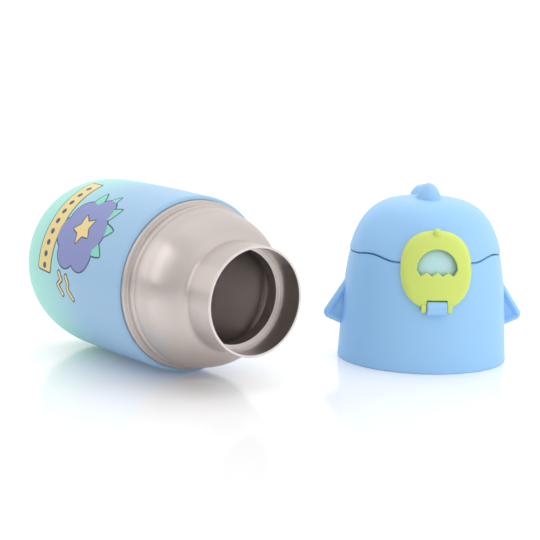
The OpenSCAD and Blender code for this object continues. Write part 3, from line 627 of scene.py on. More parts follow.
def turned_stainless(name, colour, roughness, fan=0.7, metal=1.0, worn_by=0.14):
    """Stainless sheet finished on a lathe: fine rings round the axis that fan the highlights out.

    The roughness spreads over worn_by, and fan is the pull of the rings on the sheen."""
    material, tree, shader, coordinates = new_material(name)
    local = node(tree, "ShaderNodeVectorMath", {0: coordinates, 1: FRONT}, operation="SUBTRACT")
    parts = node(tree, "ShaderNodeSeparateXYZ", {0: local.outputs[0]})
    side = node(tree, "ShaderNodeCombineXYZ", {"X": 0.0, "Y": parts.outputs["Y"],
                                               "Z": parts.outputs["Z"]})
    radius = node(tree, "ShaderNodeVectorMath", {0: side.outputs[0]}, operation="LENGTH")
    ring = node(tree, "ShaderNodeVectorMath", {0: (1.0, 0.0, 0.0), 1: side.outputs[0]},
                operation="CROSS_PRODUCT")
    path = node(tree, "ShaderNodeMath", {0: parts.outputs["X"], 1: radius.outputs["Value"]},
                operation="ADD")
    lines = node(tree, "ShaderNodeTexNoise", {"W": path.outputs[0], "Scale": 1 / (0.3 * MM),
                                              "Detail": 3.0, "Roughness": 0.6},
                 noise_dimensions="1D")
    bands = node(tree, "ShaderNodeTexNoise", {"W": path.outputs[0], "Scale": 1 / (4 * MM)},
                 noise_dimensions="1D")
    cloud = node(tree, "ShaderNodeTexNoise", {"Vector": coordinates, "Scale": 1 / (16 * MM)})
    worn = node(tree, "ShaderNodeMath", {0: bands.outputs["Fac"], 1: cloud.outputs["Fac"]},
                operation="ADD")
    both = node(tree, "ShaderNodeMath", {0: worn.outputs[0], 1: lines.outputs["Fac"]},
                operation="ADD")
    rough = node(tree, "ShaderNodeMapRange", {"Value": both.outputs[0], "From Min": 1.1,
                                              "From Max": 1.9,
                                              "To Min": roughness - worn_by * 0.4,
                                              "To Max": roughness + worn_by * 0.6})
    tree.links.new(rough.outputs[0], shader.inputs["Roughness"])
    bump = node(tree, "ShaderNodeBump", {"Height": lines.outputs["Fac"], "Distance": 0.004 * MM,
                                         "Strength": 0.5})
    tree.links.new(bump.outputs[0], shader.inputs["Normal"])
    tree.links.new(ring.outputs[0], shader.inputs["Tangent"])
    # The sheen runs across the rings, as on anything finished on a lathe.
    shader.inputs["Anisotropic"].default_value = fan
    shader.inputs["Anisotropic Rotation"].default_value = 0.25
    shader.inputs["Base Color"].default_value = linear(colour)
    shader.inputs["Metallic"].default_value = metal
    return material


def moulded_silicone(name, colour):
    """Milky silicone: waxy, a little see-through at its edges, with a dry bloom."""
    material, tree, shader, coordinates = new_material(name)
    varied_colour(tree, shader, coordinates, linear(colour), 6 * MM, 0.04)
    grained(tree, shader, coordinates, 0.25 * MM, 0.01 * MM, 0.5, 0.05)
    shader.inputs["IOR"].default_value = 1.41
    shader.inputs["Subsurface Weight"].default_value = 0.35
    shader.inputs["Subsurface Scale"].default_value = 2 * MM
    return material


def tinted_polypropylene(colour):
    """Translucent tinted plastic: light spreads inside it, with a clear skin on top."""
    material, tree, shader, coordinates = new_material("tinted_translucent_polypropylene")
    varied_colour(tree, shader, coordinates, linear(colour), 7 * MM, 0.06)
    grained(tree, shader, coordinates, 0.4 * MM, 0.008 * MM, 0.28, 0.03)
    shader.inputs["IOR"].default_value = 1.49
    shader.inputs["Subsurface Weight"].default_value = 0.4
    shader.inputs["Subsurface Radius"].default_value = (0.8, 1.6, 1.6)
    shader.inputs["Subsurface Scale"].default_value = 2.5 * MM
    shader.inputs["Coat Weight"].default_value = 0.4
    shader.inputs["Coat Roughness"].default_value = 0.12
    return material


def drawn_wire(name, colour, roughness=0.25):
    """Drawn stainless wire or pin: bright, with faint draw lines."""
    material, tree, shader, coordinates = new_material(name)
    grained(tree, shader, coordinates, 0.2 * MM, 0.004 * MM, roughness, 0.06)
    shader.inputs["Base Color"].default_value = linear(colour)
    shader.inputs["Metallic"].default_value = 1
    return material


def screen_ink(name, colour):
    """Screen-printed ink: a thin even film, a little glossier than the shell."""
    material, tree, shader, coordinates = new_material(name)
    varied_colour(tree, shader, coordinates, linear(colour), 5 * MM, 0.05)
    grained(tree, shader, coordinates, 0.3 * MM, 0.006 * MM, 0.38, 0.05)
    shader.inputs["IOR"].default_value = 1.5
    return material


def material_set():
    """Makes each finish once."""
    if "screen_ink_navy" in bpy.data.materials:
        return
    finishes = settings("bottle_finishes")
    printed_polypropylene(finishes)
    satin_polypropylene("satin_polypropylene_blue", finishes.lid_blue)
    satin_polypropylene("satin_polypropylene_lime", finishes.lime)
    satin_polypropylene("smooth_polypropylene_white", finishes.white, roughness=0.3)
    tinted_polypropylene(finishes.teal)
    moulded_silicone("moulded_silicone", finishes.silicone)
    turned_stainless("turned_stainless_outside", finishes.steel, 0.34)
    # The liner is etched as well as turned, so it is duller and scatters some light.
    turned_stainless("etched_stainless_inside", finishes.liner_steel, 0.3, 0.0, 0.95, 0.03)
    drawn_wire("drawn_stainless_wire", finishes.wire)
    drawn_wire("bright_copper_foil", finishes.foil, 0.15)
    screen_ink("screen_ink_yellow", finishes.ink_yellow)
    screen_ink("screen_ink_violet", finishes.ink_violet)
    screen_ink("screen_ink_mint", finishes.ink_mint)
    screen_ink("screen_ink_navy", finishes.ink_navy)


def finish_named(name):
    """A finish from the set."""
    material_set()
    return bpy.data.materials[name]


# ---- Shapes of the bottle and the lid ----

def corner(inset, steps=28):
    """Rounded corner of the base, drawn in by inset."""
    sizes = settings("bottle_sizes")
    rim = BODY_R - sizes.belly
    return [(sizes.base_flat_r - inset + (rim - sizes.base_flat_r) * math.sin(a),
             -BODY_LEN + inset + sizes.corner_len * (1 - math.cos(a)))
            for a in (math.radians(90 * i / steps) for i in range(steps + 1))]


def shoulder(start_r, half_len, turn, drop, blend=True):
    """Dome of the shoulder and its hollow blend into the neck."""
    sizes = settings("bottle_sizes")
    steel_r = BODY_R - sizes.belly - sizes.shell_wall - FIT_GAP
    step_r = steel_r - sizes.step_depth
    dome_s = sizes.bead_len + 0.6 * MM + sizes.groove_len + sizes.ridge_len
    blend_w = 1.6 * MM
    across = (step_r - sizes.neck_r - blend_w) / (1 - math.cos(sizes.dome_turn))
    full = sizes.dome_len / math.sin(sizes.dome_turn)
    half_len = full - half_len
    points = [(start_r - across * (1 - math.cos(a)), dome_s + half_len * math.sin(a))
              for a in (turn * i / 28 for i in range(29))]
    if not blend:
        return points
    neck_s = dome_s + sizes.dome_len
    rise = blend_w * full * math.cos(sizes.dome_turn) / (across * math.sin(sizes.dome_turn))
    foot = Vector((sizes.neck_r + blend_w - drop, neck_s))
    bend = Vector((sizes.neck_r - drop, neck_s + rise))
    return points + bent(foot, bend, bend + Vector((0, 2.2 * MM)), 8)[1:]


def lid_radius(z, inset=0.0):
    """Radius of the lid's form at a height, drawn in by inset on the side and the top."""
    lid = settings("lid_sizes")
    top = LID_TOP - lid.cap_proud - inset
    share = min(1, max(0, z) / top) ** lid.power_z
    return (lid.base_r - inset - lid.taper * z) * max(0, 1 - share) ** (1 / lid.power_r)


def split_height(x):
    """Height of the split line at a distance from the lid's middle, seen from the front."""
    lid = settings("lid_sizes")
    edge_r = lid_radius(SPLIT_Z)
    w = abs(x)
    low_x = edge_r * math.sin(math.radians(32))
    high_x = edge_r * math.sin(math.radians(55))
    if w < lid.arch_half_w:
        return SPLIT_Z - lid.wave_low + lid.arch_h * math.sqrt(1 - (w / lid.arch_half_w) ** 2)
    if w < low_x:
        return SPLIT_Z - lid.wave_low
    if w < high_x:
        swing = (1 - math.cos(math.pi * (w - low_x) / (high_x - low_x))) / 2
        return SPLIT_Z - lid.wave_low + (lid.wave_high + lid.wave_low) * swing
    if w < edge_r:
        return SPLIT_Z + lid.wave_high * (1 + math.cos(math.pi * (w - high_x) / (edge_r - high_x))) / 2
    return SPLIT_Z


def split_along(angle, inset):
    """Height of the split line in a direction from the front, on a skin drawn in by inset."""
    if math.cos(angle) <= 0:
        return SPLIT_Z
    z = SPLIT_Z
    for _ in range(12):
        z = (z + split_height(lid_radius(z, inset) * math.sin(angle))) / 2
    return z


def around(steps):
    """Directions from the front, closer together over the button's arch."""
    arch = math.radians(31)
    near = [-arch + 2 * arch * i / (steps // 2) for i in range(steps // 2)]
    rest = [arch + (math.tau - 2 * arch) * i / (steps // 2) for i in range(steps // 2)]
    return near + rest


def turned_point(angle, r, z):
    """Point at a direction from the front, in the lid's own frame."""
    return (r * math.sin(angle), -r * math.cos(angle), z)


def egg_outline():
    """Outline of the latch, in x and z."""
    sizes = settings("latch_sizes")
    out = []
    for i in range(240):
        a = math.tau * i / 240
        c, s = math.cos(a), math.sin(a)
        out.append((sizes.half_w * math.copysign(abs(c) ** (2 / sizes.power), c),
                    SPLIT_Z - sizes.drop + sizes.half_h * math.copysign(abs(s) ** (2 / sizes.power), s)))
    return out


# Steps round the arch of the window, whose foot follows them in the outline.
WINDOW_ARC = 48


def window_outline(grow=0.0, teeth=True):
    """Outline of the window, with its row of teeth, or of the button."""
    sizes = settings("latch_sizes")
    middle_z = SPLIT_Z - sizes.drop + 0.2 * MM
    half = sizes.window_half_w + grow
    points = [(half * math.cos(a), middle_z + (sizes.window_arch_h + grow) * math.sin(a))
              for a in (math.pi * i / WINDOW_ARC for i in range(WINDOW_ARC + 1))]
    low = middle_z - sizes.window_foot - grow
    if teeth:
        # Peaks and valleys alternate, three steps to each side of the middle.
        for i in range(-3, 4):
            up = sizes.tooth_h if i % 2 == 0 else 0
            points.append((i * (sizes.window_half_w - 2 * MM) / 3, low + up))
    else:
        foot_x = half - 2.4 * MM
        points += [(-foot_x, low), (foot_x, low)]
    return points


def convex(points):
    """Convex outline round some points."""
    points = sorted(set(points))
    out = []
    for row in (points, points[::-1]):
        side = []
        for p in row:
            while len(side) > 1 and ((side[-1][0] - side[-2][0]) * (p[1] - side[-2][1])
                                     <= (side[-1][1] - side[-2][1]) * (p[0] - side[-2][0])):
                side.pop()
            side.append(p)
        out += side[:-1]
    return out


def ray_reach(outline, centre, angle):
    """Distance from a centre to an outline in one direction."""
    direction = np.array([math.cos(angle), math.sin(angle)])
    a = np.array(outline) - centre
    edge = np.roll(a, -1, 0) - a
    cross = direction[0] * edge[:, 1] - direction[1] * edge[:, 0]
    cross = np.where(np.abs(cross) < 1e-15, 1e-15, cross)
    along = (a[:, 0] * edge[:, 1] - a[:, 1] * edge[:, 0]) / cross
    share = (a[:, 0] * direction[1] - a[:, 1] * direction[0]) / cross
    good = (share > -1e-6) & (share < 1 + 1e-6) & (along > 0)
    return float(along[good].max())


def on_lid(x, z, out):
    """Point of the front at x and z, a distance out from the collar's surface."""
    r = lid_radius(z, -out)
    return (x, -math.sqrt(max(0, r * r - x * x)), z)


# ---- Operators: one for each piece or group of like pieces ----

class BOTTLE_OT_stage(Operator):
    """Sets the camera, the floor and soft studio light"""

    bl_idname = "bottle.stage"
    bl_label = "Studio"

    def execute(self, context):
        stage = settings("stage_settings")
        scene = context.scene
        forward = Vector((-math.sin(stage.azimuth) * math.cos(stage.pitch),
                          math.cos(stage.azimuth) * math.cos(stage.pitch), -math.sin(stage.pitch)))
        right = Vector((math.cos(stage.azimuth), math.sin(stage.azimuth), 0))
        up = right.cross(forward)
        turned_up = up * math.cos(stage.roll) - right * math.sin(stage.roll)
        turned_right = right * math.cos(stage.roll) + up * math.sin(stage.roll)
        camera = bpy.data.objects.new("camera", bpy.data.cameras.new("camera"))
        scene.collection.objects.link(camera)
        camera.data.lens = stage.lens
        camera.data.sensor_width = 36
        place = Vector((FRONT.x, FRONT.y, 0)) + Vector(stage.camera_offset)
        axes = Matrix((turned_right, turned_up, -forward)).transposed()
        camera.matrix_world = Matrix.Translation(place) @ axes.to_4x4()
        scene.camera = camera
        self.floor()
        self.lights(scene)
        scene.view_settings.view_transform = "Standard"
        scene.view_settings.look = "None"
        return {"FINISHED"}

    def floor(self):
        """Pale glossy sheet with a faint mottle, under everything."""
        material, tree, shader, coordinates = new_material("pale_acrylic_sheet")
        noise = node(tree, "ShaderNodeTexNoise", {"Vector": coordinates, "Scale": 3.0})
        rough = node(tree, "ShaderNodeMapRange", {"Value": noise.outputs["Fac"], "To Min": 0.11,
                                                  "To Max": 0.15})
        tree.links.new(rough.outputs[0], shader.inputs["Roughness"])
        shader.inputs["Base Color"].default_value = (0.95, 0.95, 0.955, 1)
        shader.inputs["Emission Color"].default_value = (1, 0.98, 1, 1)
        shader.inputs["Emission Strength"].default_value = 0.07
        # Wide enough that its edge never shows, from any side.
        half = 30
        floor = from_mesh("floor", [(-half, -half, 0), (half, -half, 0), (half, half, 0),
                                    (-half, half, 0)], [(0, 1, 2, 3)])
        floor.data.materials.append(material)

    def lights(self, scene):
        """A white room that dims towards one side of the camera, with soft light from above."""
        world = bpy.data.worlds.new("white_room")
        scene.world = world
        world.use_nodes = True
        tree = world.node_tree
        sky = tree.nodes["Background"]
        seen = node(tree, "ShaderNodeNewGeometry").outputs["Incoming"]
        dim = node(tree, "ShaderNodeVectorMath", {0: seen, 1: Vector((-0.1, 0.98, 0.0))},
                   operation="DOT_PRODUCT")
        strength = node(tree, "ShaderNodeMapRange", {"Value": dim.outputs["Value"], "From Min": 0.1,
                                                     "From Max": 0.95, "To Min": 1.17,
                                                     "To Max": 0.66})
        tree.links.new(strength.outputs[0], sky.inputs["Strength"])
        sky.inputs["Color"].default_value = (1, 1, 1, 1)
        aim = Vector((0, 0, 0.04))
        # Place and size in metres, power in watts. The first two only shape the plastic, and the
        # last only draws a soft streak on the steel.
        plan = [("top", (-0.5, 0.4, 1.6), 2.2, 7.0, False), ("side", (0.9, 0.75, 0.6), 0.7, 2.0, False),
                ("strip", (-0.35, -0.95, 0.6), 0.9, 2.1, True)]
        for name, place, size, power, streak in plan:
            light = bpy.data.lights.new(name, "AREA")
            light.shape = "SQUARE"
            light.size = size
            light.energy = power
            lamp = bpy.data.objects.new(name, light)
            scene.collection.objects.link(lamp)
            lamp.visible_glossy = streak
            lamp.visible_diffuse = not streak
            lamp.location = place
            lamp.rotation_euler = (Vector(place) - aim).to_track_quat("Z", "Y").to_euler()


class BOTTLE_OT_shell(Operator):
    """Turns the printed shell of the bottle"""

    bl_idname = "bottle.shell"
    bl_label = "Printed shell"

    def execute(self, context):
        sizes = settings("bottle_sizes")
        rim = BODY_R - sizes.belly
        front = sizes.shell_wall - 0.1 * MM
        start = -BODY_LEN + sizes.corner_len
        side = [(rim + sizes.belly * math.sin(math.pi * t), start + (-front - start) * t)
                for t in (i / 40 for i in range(1, 40))]
        outer = corner(0) + side + arc(rim - front, -front, front, 0, 90, 10)
        inner = [(rim - sizes.shell_wall, -0.05 * MM)] + corner(sizes.shell_wall)[::-1]
        lip_r = sizes.base_flat_r - sizes.base_lip
        foot = [(lip_r, -BODY_LEN + sizes.shell_wall), (lip_r, -BODY_LEN)]
        profile = outer + inner + foot + [outer[0]]
        shell = lathe("printed_shell", profile, None, LAY_BOTTLE, 224)
        finish(shell, "bottle", "printed_shell", finish_named("printed_polypropylene"), "body_shell")
        return {"FINISHED"}


class BOTTLE_OT_print(Operator):
    """Lays the screen print on the shell: a ribbon, a cloud with leaves, and two bolts"""

    bl_idname = "bottle.print"
    bl_label = "Print"

    # Each ink film is 0.03 mm thick and lies on the one below it.
    film = 0.03 * MM

    def stepped(self, outline, step=2.0):
        """The outline with a point at least every step, so that the ink can bend round the shell."""
        out = []
        for i, point in enumerate(outline):
            before, after = Vector(outline[i - 1]), Vector(point)
            count = max(1, math.ceil((after - before).length / step))
            out += [tuple(before.lerp(after, k / count)) for k in range(1, count + 1)]
        return out

    def patch(self, outlines, level):
        """Flat closed slab with those outlines, at its level in the stack of inks."""
        curve = bpy.data.curves.new("patch", "CURVE")
        curve.dimensions = "2D"
        curve.fill_mode = "BOTH"
        curve.extrude = self.film / 2
        for outline in map(self.stepped, outlines):
            spline = curve.splines.new("POLY")
            spline.points.add(len(outline) - 1)
            for point, (x, y) in zip(spline.points, outline):
                point.co = (x * MM, y * MM, 0, 1)
            spline.use_cyclic_u = True
        holder = bpy.data.objects.new("patch", curve)
        bpy.context.scene.collection.objects.link(holder)
        flat = plain(holder)
        flat.data.transform(Matrix.Translation((0, 0, self.film * (level + 0.5))))
        return flat

    def lay(self, name, outlines, level, material):
        """Wraps one ink onto the shell."""
        flat = joined(name, *[self.patch([outline], level) for outline in outlines])
        laid = grown(name, print_tree(), {
            "Shell": bpy.data.objects["printed_shell"], "Shell Radius": BODY_R,
            "Origin": tuple(FRONT), "Detail": 3, "Material": finish_named(material)}, flat)
        finish(tidy_mesh(laid, sharp=60), "bottle", "printed_shell", finish_named(material))

    def grow(self, outline, by):
        """The outline moved outwards, for its dark border."""
        points = [Vector(p) for p in outline]
        area = sum(points[i - 1].cross(p) for i, p in enumerate(points))
        turn = -1 if area < 0 else 1
        out = []
        for i, point in enumerate(points):
            before = (point - points[i - 1]).normalized()
            after = (points[(i + 1) % len(points)] - point).normalized()
            normal = Vector((before.y + after.y, -before.x - after.x)) * turn
            size = max(0.6, normal.length)
            out.append(tuple(point + normal.normalized() * by * min(1.6, 2 / size)))
        return out

    def cloud(self, centre, puffs):
        """Outline round a group of round puffs, each at (x, y, radius) from the centre."""
        out = []
        for i in range(150):
            a = math.tau * i / 150
            reach = 0
            for x, y, r in puffs:
                along = x * math.cos(a) + y * math.sin(a)
                across = x * math.sin(a) - y * math.cos(a)
                if abs(across) < r:
                    reach = max(reach, along + math.sqrt(r * r - across * across))
            out.append((centre[0] + reach * math.cos(a), centre[1] + reach * math.sin(a)))
        return out

    def star(self, centre, size, turn):
        """Five-pointed star with soft points."""
        points = [(centre[0] + size * (1 if i % 2 == 0 else 0.5) * math.cos(turn + math.pi * i / 5),
                   centre[1] + size * (1 if i % 2 == 0 else 0.5) * math.sin(turn + math.pi * i / 5))
                  for i in range(10)]
        return softened(points, 0.9)

    def leaf(self, root, size, angle):
        """Pointed leaf that stands out from a root."""
        c, s = math.cos(angle), math.sin(angle)
        flat = [(0, -0.36), (0.35, -0.42), (0.8, -0.22), (1.15, 0), (0.8, 0.22), (0.35, 0.42), (0, 0.36)]
        return softened([(root[0] + size * (c * x - s * y), root[1] + size * (s * x + c * y))
                         for x, y in flat], 0.8)

    def bolt(self, points, width):
        """Thick zigzag line through a few points."""
        row = [Vector(p) for p in points]
        left, right = [], []
        for i, point in enumerate(row):
            ahead = row[min(i + 1, len(row) - 1)] - row[max(i - 1, 0)]
            normal = Vector((-ahead.y, ahead.x)).normalized() * width / 2
            left.append(tuple(point + normal))
            right.append(tuple(point - normal))
        return softened(left + right[::-1], 0.7)

    def execute(self, context):
        # x runs along the bottle from its front edge, y is the arc down its near side from the top.
        ribbon = softened([(-76.5, 13), (-65.5, 13.5), (-63.5, 42), (-64.5, 70), (-76.5, 69),
                           (-75.5, 42)], 1.2)
        dots = [[(-70.3 + 1.6 * math.cos(a), y + 1.6 * math.sin(a))
                 for a in (math.tau * i / 20 for i in range(20))] for y in range(19, 68, 6)]
        middle_of = (-43.5, 45)
        cloud = self.cloud(middle_of, [(-8, -8, 9), (5, -11, 9.5), (11, 0, 9), (6, 11, 9.5),
                                       (-7, 12, 8.5), (-12, 2, 9), (0, 0, 12)])
        star = self.star((-43.5, 44), 8.5, 0.5)
        leaves = [self.leaf((middle_of[0] + 16 * math.cos(a), middle_of[1] + 16 * math.sin(a)), 8.5, a)
                  for a in (math.radians(d) for d in (-104, -72, -40, -8, 24))]
        bolts = [self.bolt([(-56, 68), (-53, 72), (-57, 75), (-52.5, 80)], 1.8),
                 self.bolt([(-49, 69), (-46.5, 73), (-47.5, 76), (-42.5, 81)], 1.8)]
        self.lay("print_border", [self.grow(s, 0.8) for s in leaves + bolts + [cloud, ribbon]], 0,
                 "screen_ink_navy")
        self.lay("print_leaves", leaves, 1, "screen_ink_mint")
        self.lay("print_cloud", [cloud], 2, "screen_ink_violet")
        self.lay("print_ribbon", [ribbon] + bolts, 2, "screen_ink_yellow")
        self.lay("print_dots", dots, 3, "screen_ink_navy")
        self.lay("print_star_border", [self.grow(star, 0.7)], 3, "screen_ink_navy")
        self.lay("print_star", [star], 4, "screen_ink_yellow")
        return {"FINISHED"}


class BOTTLE_OT_flask(Operator):
    """Turns the outer steel wall and the liner with its ledge"""

    bl_idname = "bottle.flask"
    bl_label = "Steel flask"

    def execute(self, context):
        sizes = settings("bottle_sizes")
        rim = BODY_R - sizes.belly
        shell_in = sizes.shell_wall + FIT_GAP
        steel_r = rim - shell_in
        groove_r = steel_r - sizes.groove_depth
        ridge_r = steel_r - sizes.ridge_depth
        step_r = steel_r - sizes.step_depth
        groove_s = sizes.bead_len + 0.4 * MM
        ridge_s = groove_s + sizes.groove_len
        dome_s = ridge_s + sizes.ridge_len + 0.2 * MM
        lip_t = 0.8 * MM
        soft = 0.7 * MM
        front = softened([(steel_r, -3 * MM), (steel_r, sizes.bead_len), (groove_r, groove_s),
                          (groove_r, ridge_s), (ridge_r, ridge_s + 0.5 * MM),
                          (ridge_r, dome_s - 0.5 * MM), (step_r, dome_s)], soft, closed=False, steps=6)
        outer = corner(shell_in) + front[:-1] + shoulder(step_r, 0, sizes.dome_turn, 0)
        outer += [(sizes.neck_r, MOUTH - lip_t)]
        inner = [(sizes.neck_r - sizes.steel_t, MOUTH - lip_t)]
        inner += shoulder(step_r - sizes.steel_t, sizes.steel_t, sizes.dome_turn, sizes.steel_t)[::-1]
        inner += [(groove_r - sizes.steel_t, ridge_s), (groove_r - sizes.steel_t, sizes.bead_len),
                  (steel_r - sizes.steel_t, -MM)] + corner(shell_in + sizes.steel_t)[::-1]
        wall = lathe("steel_outer_wall", outer + inner + [outer[0]], None, LAY_BOTTLE, 224, 50)
        finish(wall, "bottle", "brushed_steel", finish_named("turned_stainless_outside"), "steel_wall")
        liner = lathe("steel_liner", self.liner(sizes, step_r, lip_t), None, LAY_BOTTLE, 224, 50)
        finish(liner, "bottle", "brushed_steel", finish_named("etched_stainless_inside"),
               "inner_liner")
        return {"FINISHED"}

    def liner(self, sizes, step_r, lip_t):
        """Profile of the liner: rolled lip, mouth, ledge, throat, dome and body."""
        rim = BODY_R - sizes.belly
        inset = sizes.shell_wall + FIT_GAP + sizes.steel_t + sizes.vacuum_gap
        ledge_s = MOUTH - sizes.ledge_depth
        ledge_r = sizes.bore_r - sizes.ledge_w
        throat_r = ledge_r + sizes.liner_t
        dome_r = step_r - sizes.steel_t - sizes.vacuum_gap
        across = (step_r - sizes.neck_r - 1.6 * MM) / (1 - math.cos(sizes.dome_turn))
        turn = math.acos(1 - (dome_r - throat_r) / across)
        short = sizes.steel_t + sizes.vacuum_gap
        tube_r = sizes.bore_r + sizes.liner_t
        lip = [(tube_r, MOUTH - lip_t), (sizes.neck_r, MOUTH - lip_t)]
        lip += arc(sizes.neck_r - 0.4 * MM, MOUTH - 0.4 * MM, 0.4 * MM, 0, 90)
        lip += arc(sizes.bore_r + 0.35 * MM, MOUTH - 0.35 * MM, 0.35 * MM, 90, 180)
        outer = corner(inset) + [(rim - inset, -6 * MM), (dome_r, sizes.bead_len)]
        outer += shoulder(dome_r, short, turn, 0, blend=False)
        outer += [(throat_r, ledge_s - sizes.liner_t), (tube_r, ledge_s - sizes.liner_t)]
        inner = [(sizes.bore_r, MOUTH - MM)]
        inner += softened([(sizes.bore_r, ledge_s + MM), (sizes.bore_r, ledge_s),
                           (ledge_r, ledge_s), (ledge_r, ledge_s - 3 * MM)], 0.35 * MM, closed=False)
        inner += shoulder(dome_r - sizes.liner_t, short + sizes.liner_t, turn, 0, blend=False)[::-1]
        inner += [(dome_r - sizes.liner_t, sizes.bead_len), (rim - inset - sizes.liner_t, -6 * MM)]
        inner += corner(inset + sizes.liner_t)[::-1]
        return outer + lip + inner + [outer[0]]


class BOTTLE_OT_base(Operator):
    """Turns the base cover and its silicone ring"""

    bl_idname = "bottle.base"
    bl_label = "Base"

    def execute(self, context):
        sizes = settings("bottle_sizes")
        low = -BODY_LEN
        sink, bed, step = 0.5 * MM, 0.8 * MM, 0.3 * MM
        pad_r, pad_w, step_r = 23 * MM, 6 * MM, 9 * MM
        cover_r = sizes.base_flat_r - sizes.base_lip - FIT_GAP
        top = low + sizes.shell_wall
        gap = 0.05 * MM
        face = low + sink
        cover = [(0, top), (cover_r, top), (cover_r, face), (pad_r + gap, face),
                 (pad_r + gap, face + bed), (pad_r - pad_w - gap, face + bed),
                 (pad_r - pad_w - gap, face), (step_r, face), (step_r - MM, face + step),
                 (0, face + step)]
        piece = lathe("base_cover_disc", softened(cover, 0.25 * MM, closed=False), None, LAY_BOTTLE, 128)
        finish(piece, "bottle", "printed_shell", finish_named("satin_polypropylene_blue"), "base_cover")
        ring = softened([(pad_r - pad_w, low), (pad_r, low), (pad_r, face + bed),
                         (pad_r - pad_w, face + bed)], 0.4 * MM)
        pad = lathe("base_silicone_ring", ring + [ring[0]], None, LAY_BOTTLE, 128)
        finish(pad, "bottle", "silicone", finish_named("moulded_silicone"), "base_pad")
        return {"FINISHED"}


